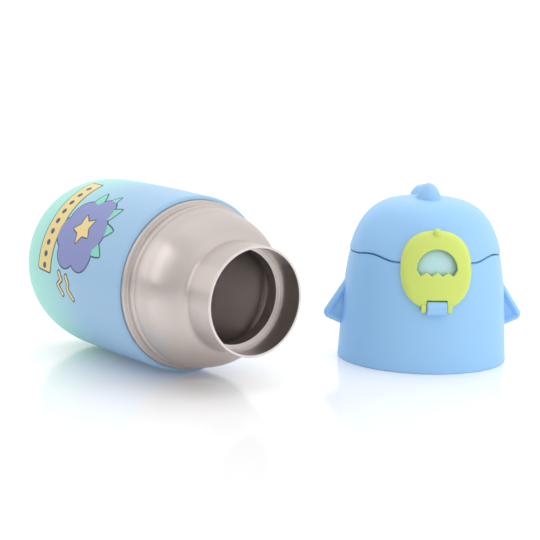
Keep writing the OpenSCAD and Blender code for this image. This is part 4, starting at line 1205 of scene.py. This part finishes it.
class BOTTLE_OT_collar(Operator):
    """Builds the lid's collar with its wavy edge, shelf, hinge and button opening"""

    bl_idname = "bottle.collar"
    bl_label = "Collar"

    def skin(self, lid):
        """Closed wall of the collar, one column of points for each direction."""
        rim_round, top_round, in_round = 0.8 * MM, 0.8 * MM, 0.4 * MM
        columns = []
        for angle in around(288):
            top = split_along(angle, 0) - lid.split_gap / 2
            points = [(lid.skirt_r, 0.3 * MM), (lid.skirt_r + 0.3 * MM, 0)]
            points += arc(lid.base_r - rim_round, rim_round, rim_round, -90, 0)
            for i in range(1, 31):
                z = rim_round + (top - top_round - rim_round) * i / 30
                points.append((lid_radius(z), z))
            points += arc(lid_radius(top - top_round) - top_round, top - top_round, top_round, 8, 90)
            inner = lid_radius(top - in_round, lid.wall)
            beside_arch = abs(lid_radius(top) * math.sin(angle)) > lid.arch_half_w + MM
            rise = lid.split_gap / 8 if beside_arch or math.cos(angle) < 0 else 0.01 * MM
            points += [(inner + 0.7 * MM, top), (inner + 0.65 * MM, top + rise)]
            points += arc(inner + in_round, top - in_round + rise, in_round, 90, 180, 4)
            for i in range(1, 17):
                z = top - in_round + (lid.skirt_h + 2 * MM - top + in_round) * i / 16
                points.append((lid_radius(z, lid.wall), z))
            points.append((lid.skirt_r, lid.skirt_h))
            columns.append([turned_point(angle, r, z) for r, z in points])
        return loft("collar_skin", columns, sharp=45)

    def execute(self, context):
        lid = settings("lid_sizes")
        latch = settings("latch_sizes")
        _, collar_x, end_x = hinge_stations(lid)
        skin = self.skin(lid)
        arch = window_outline(BUTTON_OVER + TURN_CLEAR, teeth=False)
        hole = prism("button_hole", arch, -FAR, -lid_radius(SPLIT_Z) + 9 * MM)
        room_x = collar_x - SIDE_CLEAR / 2
        cutters = [rod("hinge_room", lid.knuckle_r + TURN_CLEAR, -room_x, room_x, HINGE.y, HINGE.z, 0),
                   hole]
        foot_room_x = latch.knuckle_half_w + SIDE_CLEAR + latch.foot_w + TURN_CLEAR
        for side in (-1, 1):
            low, high = sorted((side * latch.knuckle_half_w, side * foot_room_x))
            cutters.append(rod("foot_room", latch.foot_r + TURN_CLEAR, low, high, LATCH_AXIS.y,
                               LATCH_AXIS.z, 0))
        parts = [carve(skin, *cutters)] + self.shelf(lid) + self.knuckles(lid, latch, collar_x, end_x)
        collar = joined("lid_collar_shell", *parts, *self.lugs(lid))
        tidy_mesh(collar, PLACE_LID, 45, outward=False)
        finish(collar, "lid", "blue_plastic", finish_named("satin_polypropylene_blue"), "lid_collar")
        return {"FINISHED"}

    def shelf(self, lid):
        """Shelf that carries the plug, and the wall behind the button that its spring pushes on."""
        shelf_z, shelf_t, shelf_in_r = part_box("inner_plug")[1].z, 2 * MM, 24 * MM
        box_y, box_half_w, box_wall, notch_half_w = (local_box("button_spring")[1].y, 10.2 * MM,
                                                     1.2 * MM, 11.8 * MM)
        ring_out = lid_radius(shelf_z + shelf_t, MM)
        shelf = softened([(shelf_in_r, shelf_z), (ring_out, shelf_z), (ring_out, shelf_z + shelf_t),
                          (shelf_in_r, shelf_z + shelf_t)], 0.3 * MM)
        ledge = lathe("collar_shelf", shelf + [shelf[0]], None, None, 128)
        ledge = carve(ledge, block("notch", (-notch_half_w, -FAR, 0), (notch_half_w, box_y, FAR), 0))
        wall = block("button_box", (-box_half_w, box_y, shelf_z),
                     (box_half_w, box_y + box_wall, local_box("push_button")[1].z))
        return [ledge, wall]

    def knuckles(self, lid, latch, start_x, end_x):
        """Knuckles for the cap's pin behind and for the latch's pin in front, with their webs."""
        parts = []
        web_y = web_start(lid, end_x) + 0.2 * MM
        for side in (-1, 1):
            low, high = sorted((side * start_x, side * end_x))
            parts.append(rod("knuckle", lid.knuckle_r, low, high, HINGE.y, HINGE.z))
            parts.append(block("web", (low, web_y, HINGE.z - lid.knuckle_r), (high, HINGE.y, HINGE.z)))
        r, half, web_depth, soft = latch.knuckle_r, latch.knuckle_half_w, 2.6 * MM, 0.6 * MM
        parts.append(rod("latch_knuckle", r, -half, half, LATCH_AXIS.y, LATCH_AXIS.z, soft))
        parts.append(block("latch_web", (-half, LATCH_AXIS.y, LATCH_AXIS.z - r),
                           (half, LATCH_AXIS.y + web_depth, LATCH_AXIS.z + r), soft))
        return parts

    def lugs(self, lid):
        """Four snap lugs inside the skirt."""
        half_w, reach, root, low, high = 5 * MM, 0.8 * MM, 0.4 * MM, 0.4 * MM, 2.2 * MM
        made = []
        for quarter in range(4):
            lug = block("lug", (lid.skirt_r - reach, -half_w, low), (lid.skirt_r + root, half_w, high),
                        0.3 * MM)
            lug.data.transform(Matrix.Rotation(math.radians(45 + 90 * quarter), 4, "Z"))
            made.append(lug)
        return made


def local_box(name):
    """Box of a node in the lid's own frame."""
    points = [PLACE_LID.inverted() @ v.co for v in frame["nodes"][name].data.vertices]
    low = Vector([min(p[i] for p in points) for i in range(3)])
    high = Vector([max(p[i] for p in points) for i in range(3)])
    return low, high


def hinge_stations(lid):
    """Where the cap's knuckles start, where the collar's start and where they end, along the pin."""
    cap_x = lid.spring_half_w + SIDE_CLEAR
    collar_x = cap_x + lid.knuckle_w + SIDE_CLEAR
    return cap_x, collar_x, collar_x + lid.knuckle_w


def web_start(lid, end_x):
    """How far back the lid's inside reaches at the outer end of the knuckles."""
    return math.sqrt((lid_radius(SPLIT_Z) - lid.wall) ** 2 - end_x ** 2)


def prism(name, outline, y_low, y_high):
    """Closed prism along y with an outline in x and z."""
    columns = [[(x, y_low, z), (x, y_high, z)] for x, z in outline]
    count = len(outline)
    vertices = [p for column in columns for p in column]
    faces = [(2 * i, 2 * ((i + 1) % count), 2 * ((i + 1) % count) + 1, 2 * i + 1) for i in range(count)]
    faces += [tuple(2 * i for i in range(count)), tuple(2 * i + 1 for i in range(count - 1, -1, -1))]
    return tidy_mesh(from_mesh(name, vertices, faces), sharp=30)


class BOTTLE_OT_fins(Operator):
    """Builds the two soft-edged side fins"""

    bl_idname = "bottle.fins"
    bl_label = "Fins"

    def fin(self, lid, side):
        """One fin, filled from its middle to a fully round edge, with a shallow hollow in each face."""
        half = lid.fin_t / 2
        places = [(lid_radius(lid.fin_top_z, half), lid.fin_top_z - half / 2),
                  (lid.base_r + lid.fin_out - half, lid.fin_tip_z),
                  (lid.base_r - lid.fin_t, lid.fin_low_z + half)]
        centre = np.array([lid.base_r + half / 2, lid.fin_tip_z + half])
        outline = convex([(x + half * math.cos(a), z + half * math.sin(a)) for x, z in places
                          for a in (math.tau * k / 60 for k in range(60))])
        corner_points = np.array(outline)
        run = np.roll(corner_points, -1, 0) - corner_points
        columns = []
        for k in range(180):
            a = math.tau * k / 180
            reach = ray_reach(outline, centre, a)
            direction = np.array([math.cos(a), math.sin(a)])
            front = []
            for i in range(33):
                x, z = centre + reach * math.sin(math.radians(90 * i / 32)) * direction
                off = (x - corner_points[:, 0]) * run[:, 1] - (z - corner_points[:, 1]) * run[:, 0]
                inside = float(np.abs(off / np.hypot(run[:, 0], run[:, 1])).min())
                thick = half * math.sqrt(1 - (1 - min(1, inside / half)) ** 2)
                sunk = max(0, min(1, (inside - 0.4 * half) / (0.9 * half)))
                front.append((side * x, thick - lid.fin_dish * sunk * sunk * (3 - 2 * sunk), z))
            columns.append([(x, -y, z) for x, y, z in front] + front[-2::-1])
        piece = loft("fin", columns, closed=False, sharp=80)
        foot, head = lid.fin_low_z - half, lid.fin_top_z + half
        core = [(lid_radius(z, 0.3 * MM), z) for z in (foot + (head - foot) * i / 16 for i in range(17))]
        core = [(0, core[0][1])] + core + [(0, core[-1][1])]
        piece = tidy_mesh(carve(piece, lathe("fin_core", core, None, None, 224)), PLACE_LID, 60)
        piece.name = "fin_left_soft" if side < 0 else "fin_right_soft"
        return piece

    def execute(self, context):
        lid = settings("lid_sizes")
        for side, cad in ((-1, "fin_left"), (1, "fin_right")):
            piece = self.fin(lid, side)
            finish(piece, "lid", "blue_plastic", finish_named("satin_polypropylene_blue"), cad)
        return {"FINISHED"}


class BOTTLE_OT_cap(Operator):
    """Builds the flip cap with its arch, hinge blocks, catch and crest"""

    bl_idname = "bottle.cap"
    bl_label = "Flip cap"

    def skin(self, lid):
        """Closed wall of the cap, from its pole outside to its pole inside."""
        proud = lid.cap_proud
        edge, inner_edge = 0.9 * MM, 0.4 * MM
        inset = lid.wall - proud
        columns = []
        for angle in around(288):
            low = split_along(angle, -proud) + lid.split_gap / 2
            outer = [(0, LID_TOP)]
            for i in range(1, 49):
                z = low + edge + (LID_TOP - low - edge) * math.sin(math.radians(90 * (48 - i) / 48))
                outer.append((lid_radius(z, -proud), z))
            outer += arc(lid_radius(low + edge, -proud) - edge, low + edge, edge, 0, -90)[1:]
            inner_r = lid_radius(low + inner_edge, inset)
            points = outer + arc(inner_r + inner_edge, low + inner_edge, inner_edge, -90, -180, 4)
            top = LID_TOP - lid.wall
            for i in range(1, 33):
                z = low + inner_edge + (top - low - inner_edge) * math.sin(math.radians(90 * i / 32))
                points.append((lid_radius(z, inset) if i < 32 else 0, z))
            columns.append([turned_point(angle, r, z) for r, z in points])
        return loft("cap_skin", columns, closed=False, sharp=45)

    def spike(self, y, height, lid):
        """One blunt spike: a gumdrop that is longer than it is wide."""
        sink, steps = 2.5 * MM, 24
        base_z = LID_TOP - sink
        columns = []
        for k in range(64):
            b = math.tau * k / 64
            column = [(0, y, base_z)]
            for i in range(steps + 1):
                a = math.radians(90 * i / steps)
                r = lid.spike_r * math.cos(a)
                stretch = 1.3 - 0.15 * math.sin(a)
                column.append((r * math.cos(b), y + r * stretch * math.sin(b),
                               base_z + (height + sink) * math.sin(a)))
            columns.append(column)
        return loft("spike", columns, closed=False, sharp=60)

    def execute(self, context):
        lid = settings("lid_sizes")
        cap_x, collar_x, end_x = hinge_stations(lid)
        room_r = lid.knuckle_r + TURN_CLEAR
        cutters = [rod("spring_room", room_r, -cap_x, cap_x, HINGE.y, HINGE.z, 0)]
        for side in (-1, 1):
            low, high = sorted((side * (collar_x - SIDE_CLEAR / 2), side * (end_x + SIDE_CLEAR)))
            cutters.append(rod("knuckle_room", room_r, low, high, HINGE.y, HINGE.z, 0))
        parts = [carve(self.skin(lid), *cutters)]
        web_y = web_start(lid, end_x) + 1.2 * MM
        for side in (-1, 1):
            low, high = sorted((side * cap_x, side * (cap_x + lid.knuckle_w)))
            parts.append(rod("knuckle", lid.knuckle_r, low, high, HINGE.y, HINGE.z))
            parts.append(block("web", (low, web_y, HINGE.z + lid.split_gap / 2),
                               (high, HINGE.y, HINGE.z + lid.knuckle_r)))
        # The catch stands clear of the hook's tip and above the arch over the button.
        play, above, half_w, depth, height = 0.8 * MM, 0.45 * MM, 4 * MM, 2.2 * MM, 1.4 * MM
        catch_y = local_box("button_hook")[0].y - play
        catch_z = SPLIT_Z - lid.wave_low + lid.arch_h + above
        parts.append(block("catch", (-half_w, catch_y - depth, catch_z),
                           (half_w, catch_y, catch_z + height), 0.3 * MM))
        cap = joined("flip_cap_shell", *parts)
        tidy_mesh(cap, PLACE_LID, 45, outward=False)
        finish(cap, "cap", "blue_plastic", finish_named("satin_polypropylene_blue"), "flip_cap")
        crest_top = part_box("crest")[1].z - LID_TOP
        crest = joined("crest_spikes", self.spike(-lid.spike_front, crest_top, lid),
                       self.spike(lid.spike_back, crest_top - lid.spike_fall, lid))
        tidy_mesh(crest, PLACE_LID, 60, outward=False)
        finish(crest, "cap", "blue_plastic", finish_named("satin_polypropylene_blue"), "crest")
        return {"FINISHED"}


class BOTTLE_OT_inner_lid(Operator):
    """Turns the plug, the seal, the spout, the vent valve, the cap's liner and the stopper"""

    bl_idname = "bottle.inner_lid"
    bl_label = "Inner lid"

    def execute(self, context):
        lid = settings("lid_sizes")
        white = finish_named("smooth_polypropylene_white")
        silicone = finish_named("moulded_silicone")
        plug_low, plug_high = local_box("inner_plug")
        seal_low, seal_high = local_box("neck_seal")
        spout_low, spout_high = local_box("drinking_spout")
        on_spout = PLACE_LID @ Matrix.Translation((0, -lid.spout_offset, 0))
        flange_r, flange_t, flange_over, cup_wall, seal_t = (plug_high.x, 2.4 * MM, 3.1 * MM, 2.9 * MM,
                                                             2.2 * MM)
        plug_r, foot_r = flange_r - flange_over, seal_high.x - seal_t
        bore_r = plug_r - cup_wall
        flange_z = plug_high.z - flange_t
        cup = softened([(bore_r, flange_z), (bore_r, plug_low.z), (foot_r, plug_low.z),
                        (foot_r, seal_high.z), (plug_r, seal_high.z), (plug_r, flange_z),
                        (flange_r, flange_z), (flange_r, plug_high.z), (0, plug_high.z)],
                       0.35 * MM, closed=False)
        plug = lathe("plug", [(0, flange_z)] + cup, None, None, 128)
        hole = rod("spout_hole", lid.spout_bore_r, 0, FAR, 0, 0, 0)
        hole.data.transform(Matrix.Translation((0, -lid.spout_offset, flange_z - flange_t))
                            @ Matrix.Rotation(math.radians(-90), 4, "Y"))
        plug = tidy_mesh(carve(plug, hole), PLACE_LID, 40)
        plug.name = "plug_cup"
        finish(plug, "lid", "white_plastic", white, "inner_plug")
        outer, in_r, lip = seal_high.x, foot_r + 0.05 * MM, 0.5 * MM
        teeth = [(outer - (lip if i % 2 == 0 else 0), seal_low.z + lip * i) for i in range(5)]
        seal = softened([(in_r, seal_low.z)] + teeth + [(outer - lip, seal_high.z), (in_r, seal_high.z)],
                        0.2 * MM)
        piece = lathe("neck_seal_ring", seal + [seal[0]], None, PLACE_LID, 128, 60)
        finish(piece, "lid", "silicone", silicone, "neck_seal")
        bore, r, low, top = lid.spout_bore_r, lid.spout_bore_r + lid.spout_wall, spout_low.z, spout_high.z
        foot_w, foot_t, blend_top = 1.6 * MM, 1.4 * MM, 2.6 * MM
        tube = softened([(bore, low), (r + foot_w, low), (r + foot_w, low + foot_t),
                         (r, low + blend_top), (r, top), (bore, top)], 0.9 * MM, steps=6)
        piece = lathe("spout_tube", tube + [tube[0]], None, on_spout, 96)
        finish(piece, "lid", "white_plastic", white, "drinking_spout")
        piece = self.vent(flange_z, plug_high.z)
        finish(piece, "lid", "silicone", silicone, "vent_valve")
        self.cap_side(lid, white, silicone, on_spout, local_box("spout_stopper")[0].z,
                      local_box("cap_liner")[1])
        return {"FINISHED"}

    def vent(self, under_z, over_z):
        """Umbrella valve: a barbed stem below the plug's floor and a disc above it."""
        low, high = local_box("vent_valve")
        stem_r, barb_r, neck_r, disc_r, crown_r = 1.2 * MM, 1.9 * MM, 1.4 * MM, 4 * MM, 3.2 * MM
        disc_z = over_z + 0.05 * MM
        profile = [(0, low.z), (stem_r, low.z), (barb_r, under_z - 0.1 * MM), (neck_r, under_z),
                   (neck_r, disc_z), (disc_r, disc_z), (crown_r, high.z - 0.4 * MM), (0, high.z)]
        place = PLACE_LID @ Matrix.Translation((0, (low.y + high.y) / 2, 0))
        return lathe("vent_umbrella", softened(profile, 0.3 * MM, closed=False), None, place, 64)

    def cap_side(self, lid, white, silicone, on_spout, bung_low, liner_high):
        """The white plate inside the cap and the stopper that hangs from it."""
        skirt_r, skirt_w, plate_t, socket_r, soft = 26 * MM, 1.5 * MM, 1.6 * MM, 7 * MM, 0.4 * MM
        bung_foot_r, bung_r, bung_len = 4.2 * MM, 5.6 * MM, 3.8 * MM
        disc_over, disc_t = 0.6 * MM, 2.5 * MM
        disc_z = bung_low + bung_len
        plate_z = liner_high.z - plate_t
        socket_low = disc_z + disc_t
        ring_low = disc_z + SIDE_CLEAR
        plate = softened([(0, plate_z), (skirt_r - skirt_w, plate_z), (skirt_r - skirt_w, ring_low),
                          (skirt_r, ring_low), (skirt_r, plate_z), (liner_high.x, plate_z),
                          (liner_high.x, liner_high.z), (0, liner_high.z)], soft, closed=False)
        socket_top = plate_z + 0.2 * MM
        socket = softened([(0, socket_low), (socket_r, socket_low), (socket_r, socket_top),
                           (0, socket_top)], soft, closed=False)
        parts = [lathe("plate", plate, None, PLACE_LID, 128), lathe("socket", socket, None, on_spout, 64)]
        finish(joined("cap_inner_plate", *parts), "cap", "white_plastic", white, "cap_liner")
        disc_r = lid.spout_bore_r + lid.spout_wall + disc_over
        disc_top = socket_low - 0.02 * MM
        bung = softened([(0, bung_low), (bung_foot_r, bung_low), (bung_r, disc_z), (disc_r, disc_z),
                         (disc_r, disc_top), (0, disc_top)], 0.5 * MM, closed=False)
        piece = lathe("stopper_bung", bung, None, on_spout, 96)
        finish(piece, "cap", "silicone", silicone, "spout_stopper")


class BOTTLE_OT_latch(Operator):
    """Builds the egg-shaped lock latch with its toothed window, nub and feet"""

    bl_idname = "bottle.latch"
    bl_label = "Latch"

    def plate(self, sizes):
        """Soft plate between the egg and the window, bent round the collar."""
        egg, window = egg_outline(), window_outline()
        centre = np.array([0.0, SPLIT_Z - sizes.drop + 2.5 * MM])
        # Even directions, with one through each corner of the window's foot so that its teeth stay sharp.
        angles = [math.tau * i / 300 for i in range(300)]
        angles += [math.atan2(z - centre[1], x - centre[0]) % math.tau for x, z in window[WINDOW_ARC:]]
        angles = sorted(set(round(a, 6) for a in angles))
        columns = []
        for a in angles:
            near, far = ray_reach(window, centre, a), ray_reach(egg, centre, a)
            columns.append([on_lid(centre[0] + d * math.cos(a), centre[1] + d * math.sin(a), w)
                            for d, w in self.section(sizes, near, far)])
        return loft("latch_plate", columns, sharp=50)

    def section(self, sizes, near, far):
        """Loop of (distance, reach) from the window's edge to the outer edge and back behind."""
        outer, inner = min(sizes.edge_w, 0.6 * (far - near)), sizes.window_edge
        front = []
        for i in range(6):
            a = math.radians(90 * i / 5)
            front.append((near + inner * (1 - math.cos(a)), sizes.out - inner * (1 - math.sin(a))))
        for i in range(1, 9):
            d = near + inner + (far - outer - near - inner) * i / 9
            front.append((d, sizes.out))
        for i in range(9):
            a = math.radians(90 * i / 8)
            front.append((far - outer * (1 - math.sin(a)), sizes.out - sizes.edge * (1 - math.cos(a))))
        soft = 0.2 * MM
        back = [(far, sizes.gap + soft), (far - soft, sizes.gap)]
        back += [(far - soft + (near + 2 * soft - far) * i / 6, sizes.gap) for i in range(1, 7)]
        return front + back + [(near, sizes.gap + soft)]

    def execute(self, context):
        sizes = settings("latch_sizes")
        notch_x = sizes.knuckle_half_w + SIDE_CLEAR
        notch_top = LATCH_AXIS.z + sizes.knuckle_r + 0.6 * MM
        notch = block("notch", (-notch_x, -FAR, FAR / 3), (notch_x, -FAR / 2, notch_top), 0.3 * MM)
        parts = [carve(self.plate(sizes), notch)]
        nub_z = SPLIT_Z - sizes.drop + sizes.half_h - 0.6 * MM
        nub = [(sizes.nub_r * math.sin(a), -sizes.nub_r * math.cos(a))
               for a in (math.pi * i / 16 for i in range(17))]
        place = Matrix.Translation((0, on_lid(0, nub_z, sizes.out)[1] + 0.4 * MM, nub_z))
        parts.append(lathe("nub", nub, None, place, 32, 80))
        for side in (-1, 1):
            low, high = sorted((side * notch_x, side * (notch_x + sizes.foot_w)))
            parts.append(rod("foot", sizes.foot_r, low, high, LATCH_AXIS.y, LATCH_AXIS.z, 0.6 * MM))
        latch = tidy_mesh(joined("latch_plate_egg", *parts), PLACE_LID, 50, outward=False)
        finish(latch, "latch", "lime_plastic", finish_named("satin_polypropylene_lime"), "latch")
        return {"FINISHED"}


class BOTTLE_OT_button(Operator):
    """Builds the pillow-faced push button"""

    bl_idname = "bottle.button"
    bl_label = "Button"

    def execute(self, context):
        low, high = local_box("push_button")
        outline = window_outline(BUTTON_OVER, teeth=False)
        centre = np.array([0.0, (low.z + high.z) / 2 - MM])
        swell, soft, below = 0.5 * MM, 0.5 * MM, 0.15 * MM
        back_y = high.y - 0.4 * MM
        columns = []
        for i in range(200):
            a = math.tau * i / 200
            reach = ray_reach(outline, centre, a)
            column = []
            for k in range(13):
                d = (reach - soft) * k / 12
                x, z = centre[0] + d * math.cos(a), centre[1] + d * math.sin(a)
                column.append(on_lid(x, z, -below + swell * (1 - (k / 12) ** 4)))
            x, z = centre[0] + reach * math.cos(a), centre[1] + reach * math.sin(a)
            for k in range(1, 5):
                b = math.radians(90 * k / 4)
                d = reach - soft + soft * math.sin(b)
                px, pz = centre[0] + d * math.cos(a), centre[1] + d * math.sin(a)
                column.append(on_lid(px, pz, -below - soft * (1 - math.cos(b))))
            column += [(x, back_y, z), (centre[0], back_y, centre[1])]
            columns.append(column)
        face = loft("button_face", columns, closed=False, sharp=50)
        plate_in, plate_t = 2.8 * MM, 1.2 * MM
        plate = block("button_plate", (low.x + plate_in, high.y - plate_t, low.z),
                      (high.x - plate_in, high.y, high.z), 0.3 * MM)
        button = tidy_mesh(joined("push_button_face", face, plate), PLACE_LID, 50, outward=False)
        finish(button, "button", "teal_plastic", finish_named("tinted_translucent_polypropylene"),
               "push_button")
        return {"FINISHED"}


class BOTTLE_OT_springs(Operator):
    """Winds the cap's torsion spring and the button's return spring"""

    bl_idname = "bottle.springs"
    bl_label = "Springs"

    def execute(self, context):
        wire = finish_named("drawn_stainless_wire")
        low, high = local_box("cap_spring")
        wire_r = 0.3 * MM
        coil = grown("cap_torsion_coil", coil_tree(), {
            "Turns": 5.0, "Radius": 2 * MM, "Height": high.x - low.x - 2 * wire_r,
            "Wire Radius": wire_r, "Material": wire})
        place = Matrix.Translation((low.x + wire_r, HINGE.y, HINGE.z))
        tidy_mesh(coil, PLACE_LID @ place @ Matrix.Rotation(math.radians(90), 4, "Y"), 80)
        finish(coil, "lid", "spring_wire", wire, "cap_spring")
        low, high = local_box("button_spring")
        wire_r = 0.25 * MM
        coil = grown("button_return_coil", coil_tree(), {
            "Turns": 4.0, "Radius": 1.95 * MM, "Height": high.y - low.y - 2 * wire_r,
            "Wire Radius": wire_r, "Material": wire})
        place = Matrix.Translation((0, low.y + wire_r, (low.z + high.z) / 2))
        tidy_mesh(coil, PLACE_LID @ place @ Matrix.Rotation(math.radians(-90), 4, "X"), 80)
        finish(coil, "lid", "spring_wire", wire, "button_spring")
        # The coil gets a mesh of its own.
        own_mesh(coil)
        return {"FINISHED"}


class BOTTLE_OT_hidden(Operator):
    """Gives the pieces that keep their shape their finishes"""

    bl_idname = "bottle.hidden"
    bl_label = "Inner pieces"

    def execute(self, context):
        plan = {"liner_base": "etched_stainless_inside", "base_plate": "turned_stainless_outside",
                "vacuum_getter": "drawn_stainless_wire", "reflective_foil": "bright_copper_foil",
                "hinge_pin": "drawn_stainless_wire", "latch_pin": "drawn_stainless_wire",
                "button_hook": "smooth_polypropylene_white"}
        for name, material in plan.items():
            piece = frame["nodes"][name]
            piece.data.materials.clear()
            piece.data.materials.append(finish_named(material))
        return {"FINISHED"}


class BOTTLE_PT_panel(Panel):
    """Lists the pieces in the sidebar"""

    bl_label = "Kids water bottle"
    bl_idname = "BOTTLE_PT_panel"
    bl_space_type = "VIEW_3D"
    bl_region_type = "UI"
    bl_category = "Bottle"

    def draw(self, context):
        for operator in OPERATORS:
            self.layout.operator(operator.bl_idname)
        for group in GROUPS:
            owner = getattr(context.scene, group)
            for name in owner.bl_rna.properties.keys():
                if name not in ("rna_type", "name"):
                    self.layout.prop(owner, name)


OPERATORS = (BOTTLE_OT_stage, BOTTLE_OT_shell, BOTTLE_OT_print, BOTTLE_OT_flask, BOTTLE_OT_base,
             BOTTLE_OT_collar, BOTTLE_OT_fins, BOTTLE_OT_cap, BOTTLE_OT_inner_lid, BOTTLE_OT_latch,
             BOTTLE_OT_button, BOTTLE_OT_springs, BOTTLE_OT_hidden)
GROUPS = {"bottle_sizes": BottleSizes, "lid_sizes": LidSizes, "latch_sizes": LatchSizes,
          "bottle_finishes": Finishes, "stage_settings": StageSettings}


def register():
    """Registers every class and hangs the property groups on the scene."""
    for cls in tuple(GROUPS.values()) + OPERATORS + (BOTTLE_PT_panel,):
        bpy.utils.register_class(cls)
    for name, cls in GROUPS.items():
        setattr(bpy.types.Scene, name, PointerProperty(type=cls))


def unregister():
    """Takes everything back."""
    for name in GROUPS:
        delattr(bpy.types.Scene, name)
    for cls in (BOTTLE_PT_panel,) + OPERATORS[::-1] + tuple(GROUPS.values()):
        bpy.utils.unregister_class(cls)


def main():
    register()
    for operator in OPERATORS:
        getattr(bpy.ops.bottle, operator.bl_idname.split(".")[1])()


if __name__ == "__main__":
    main()
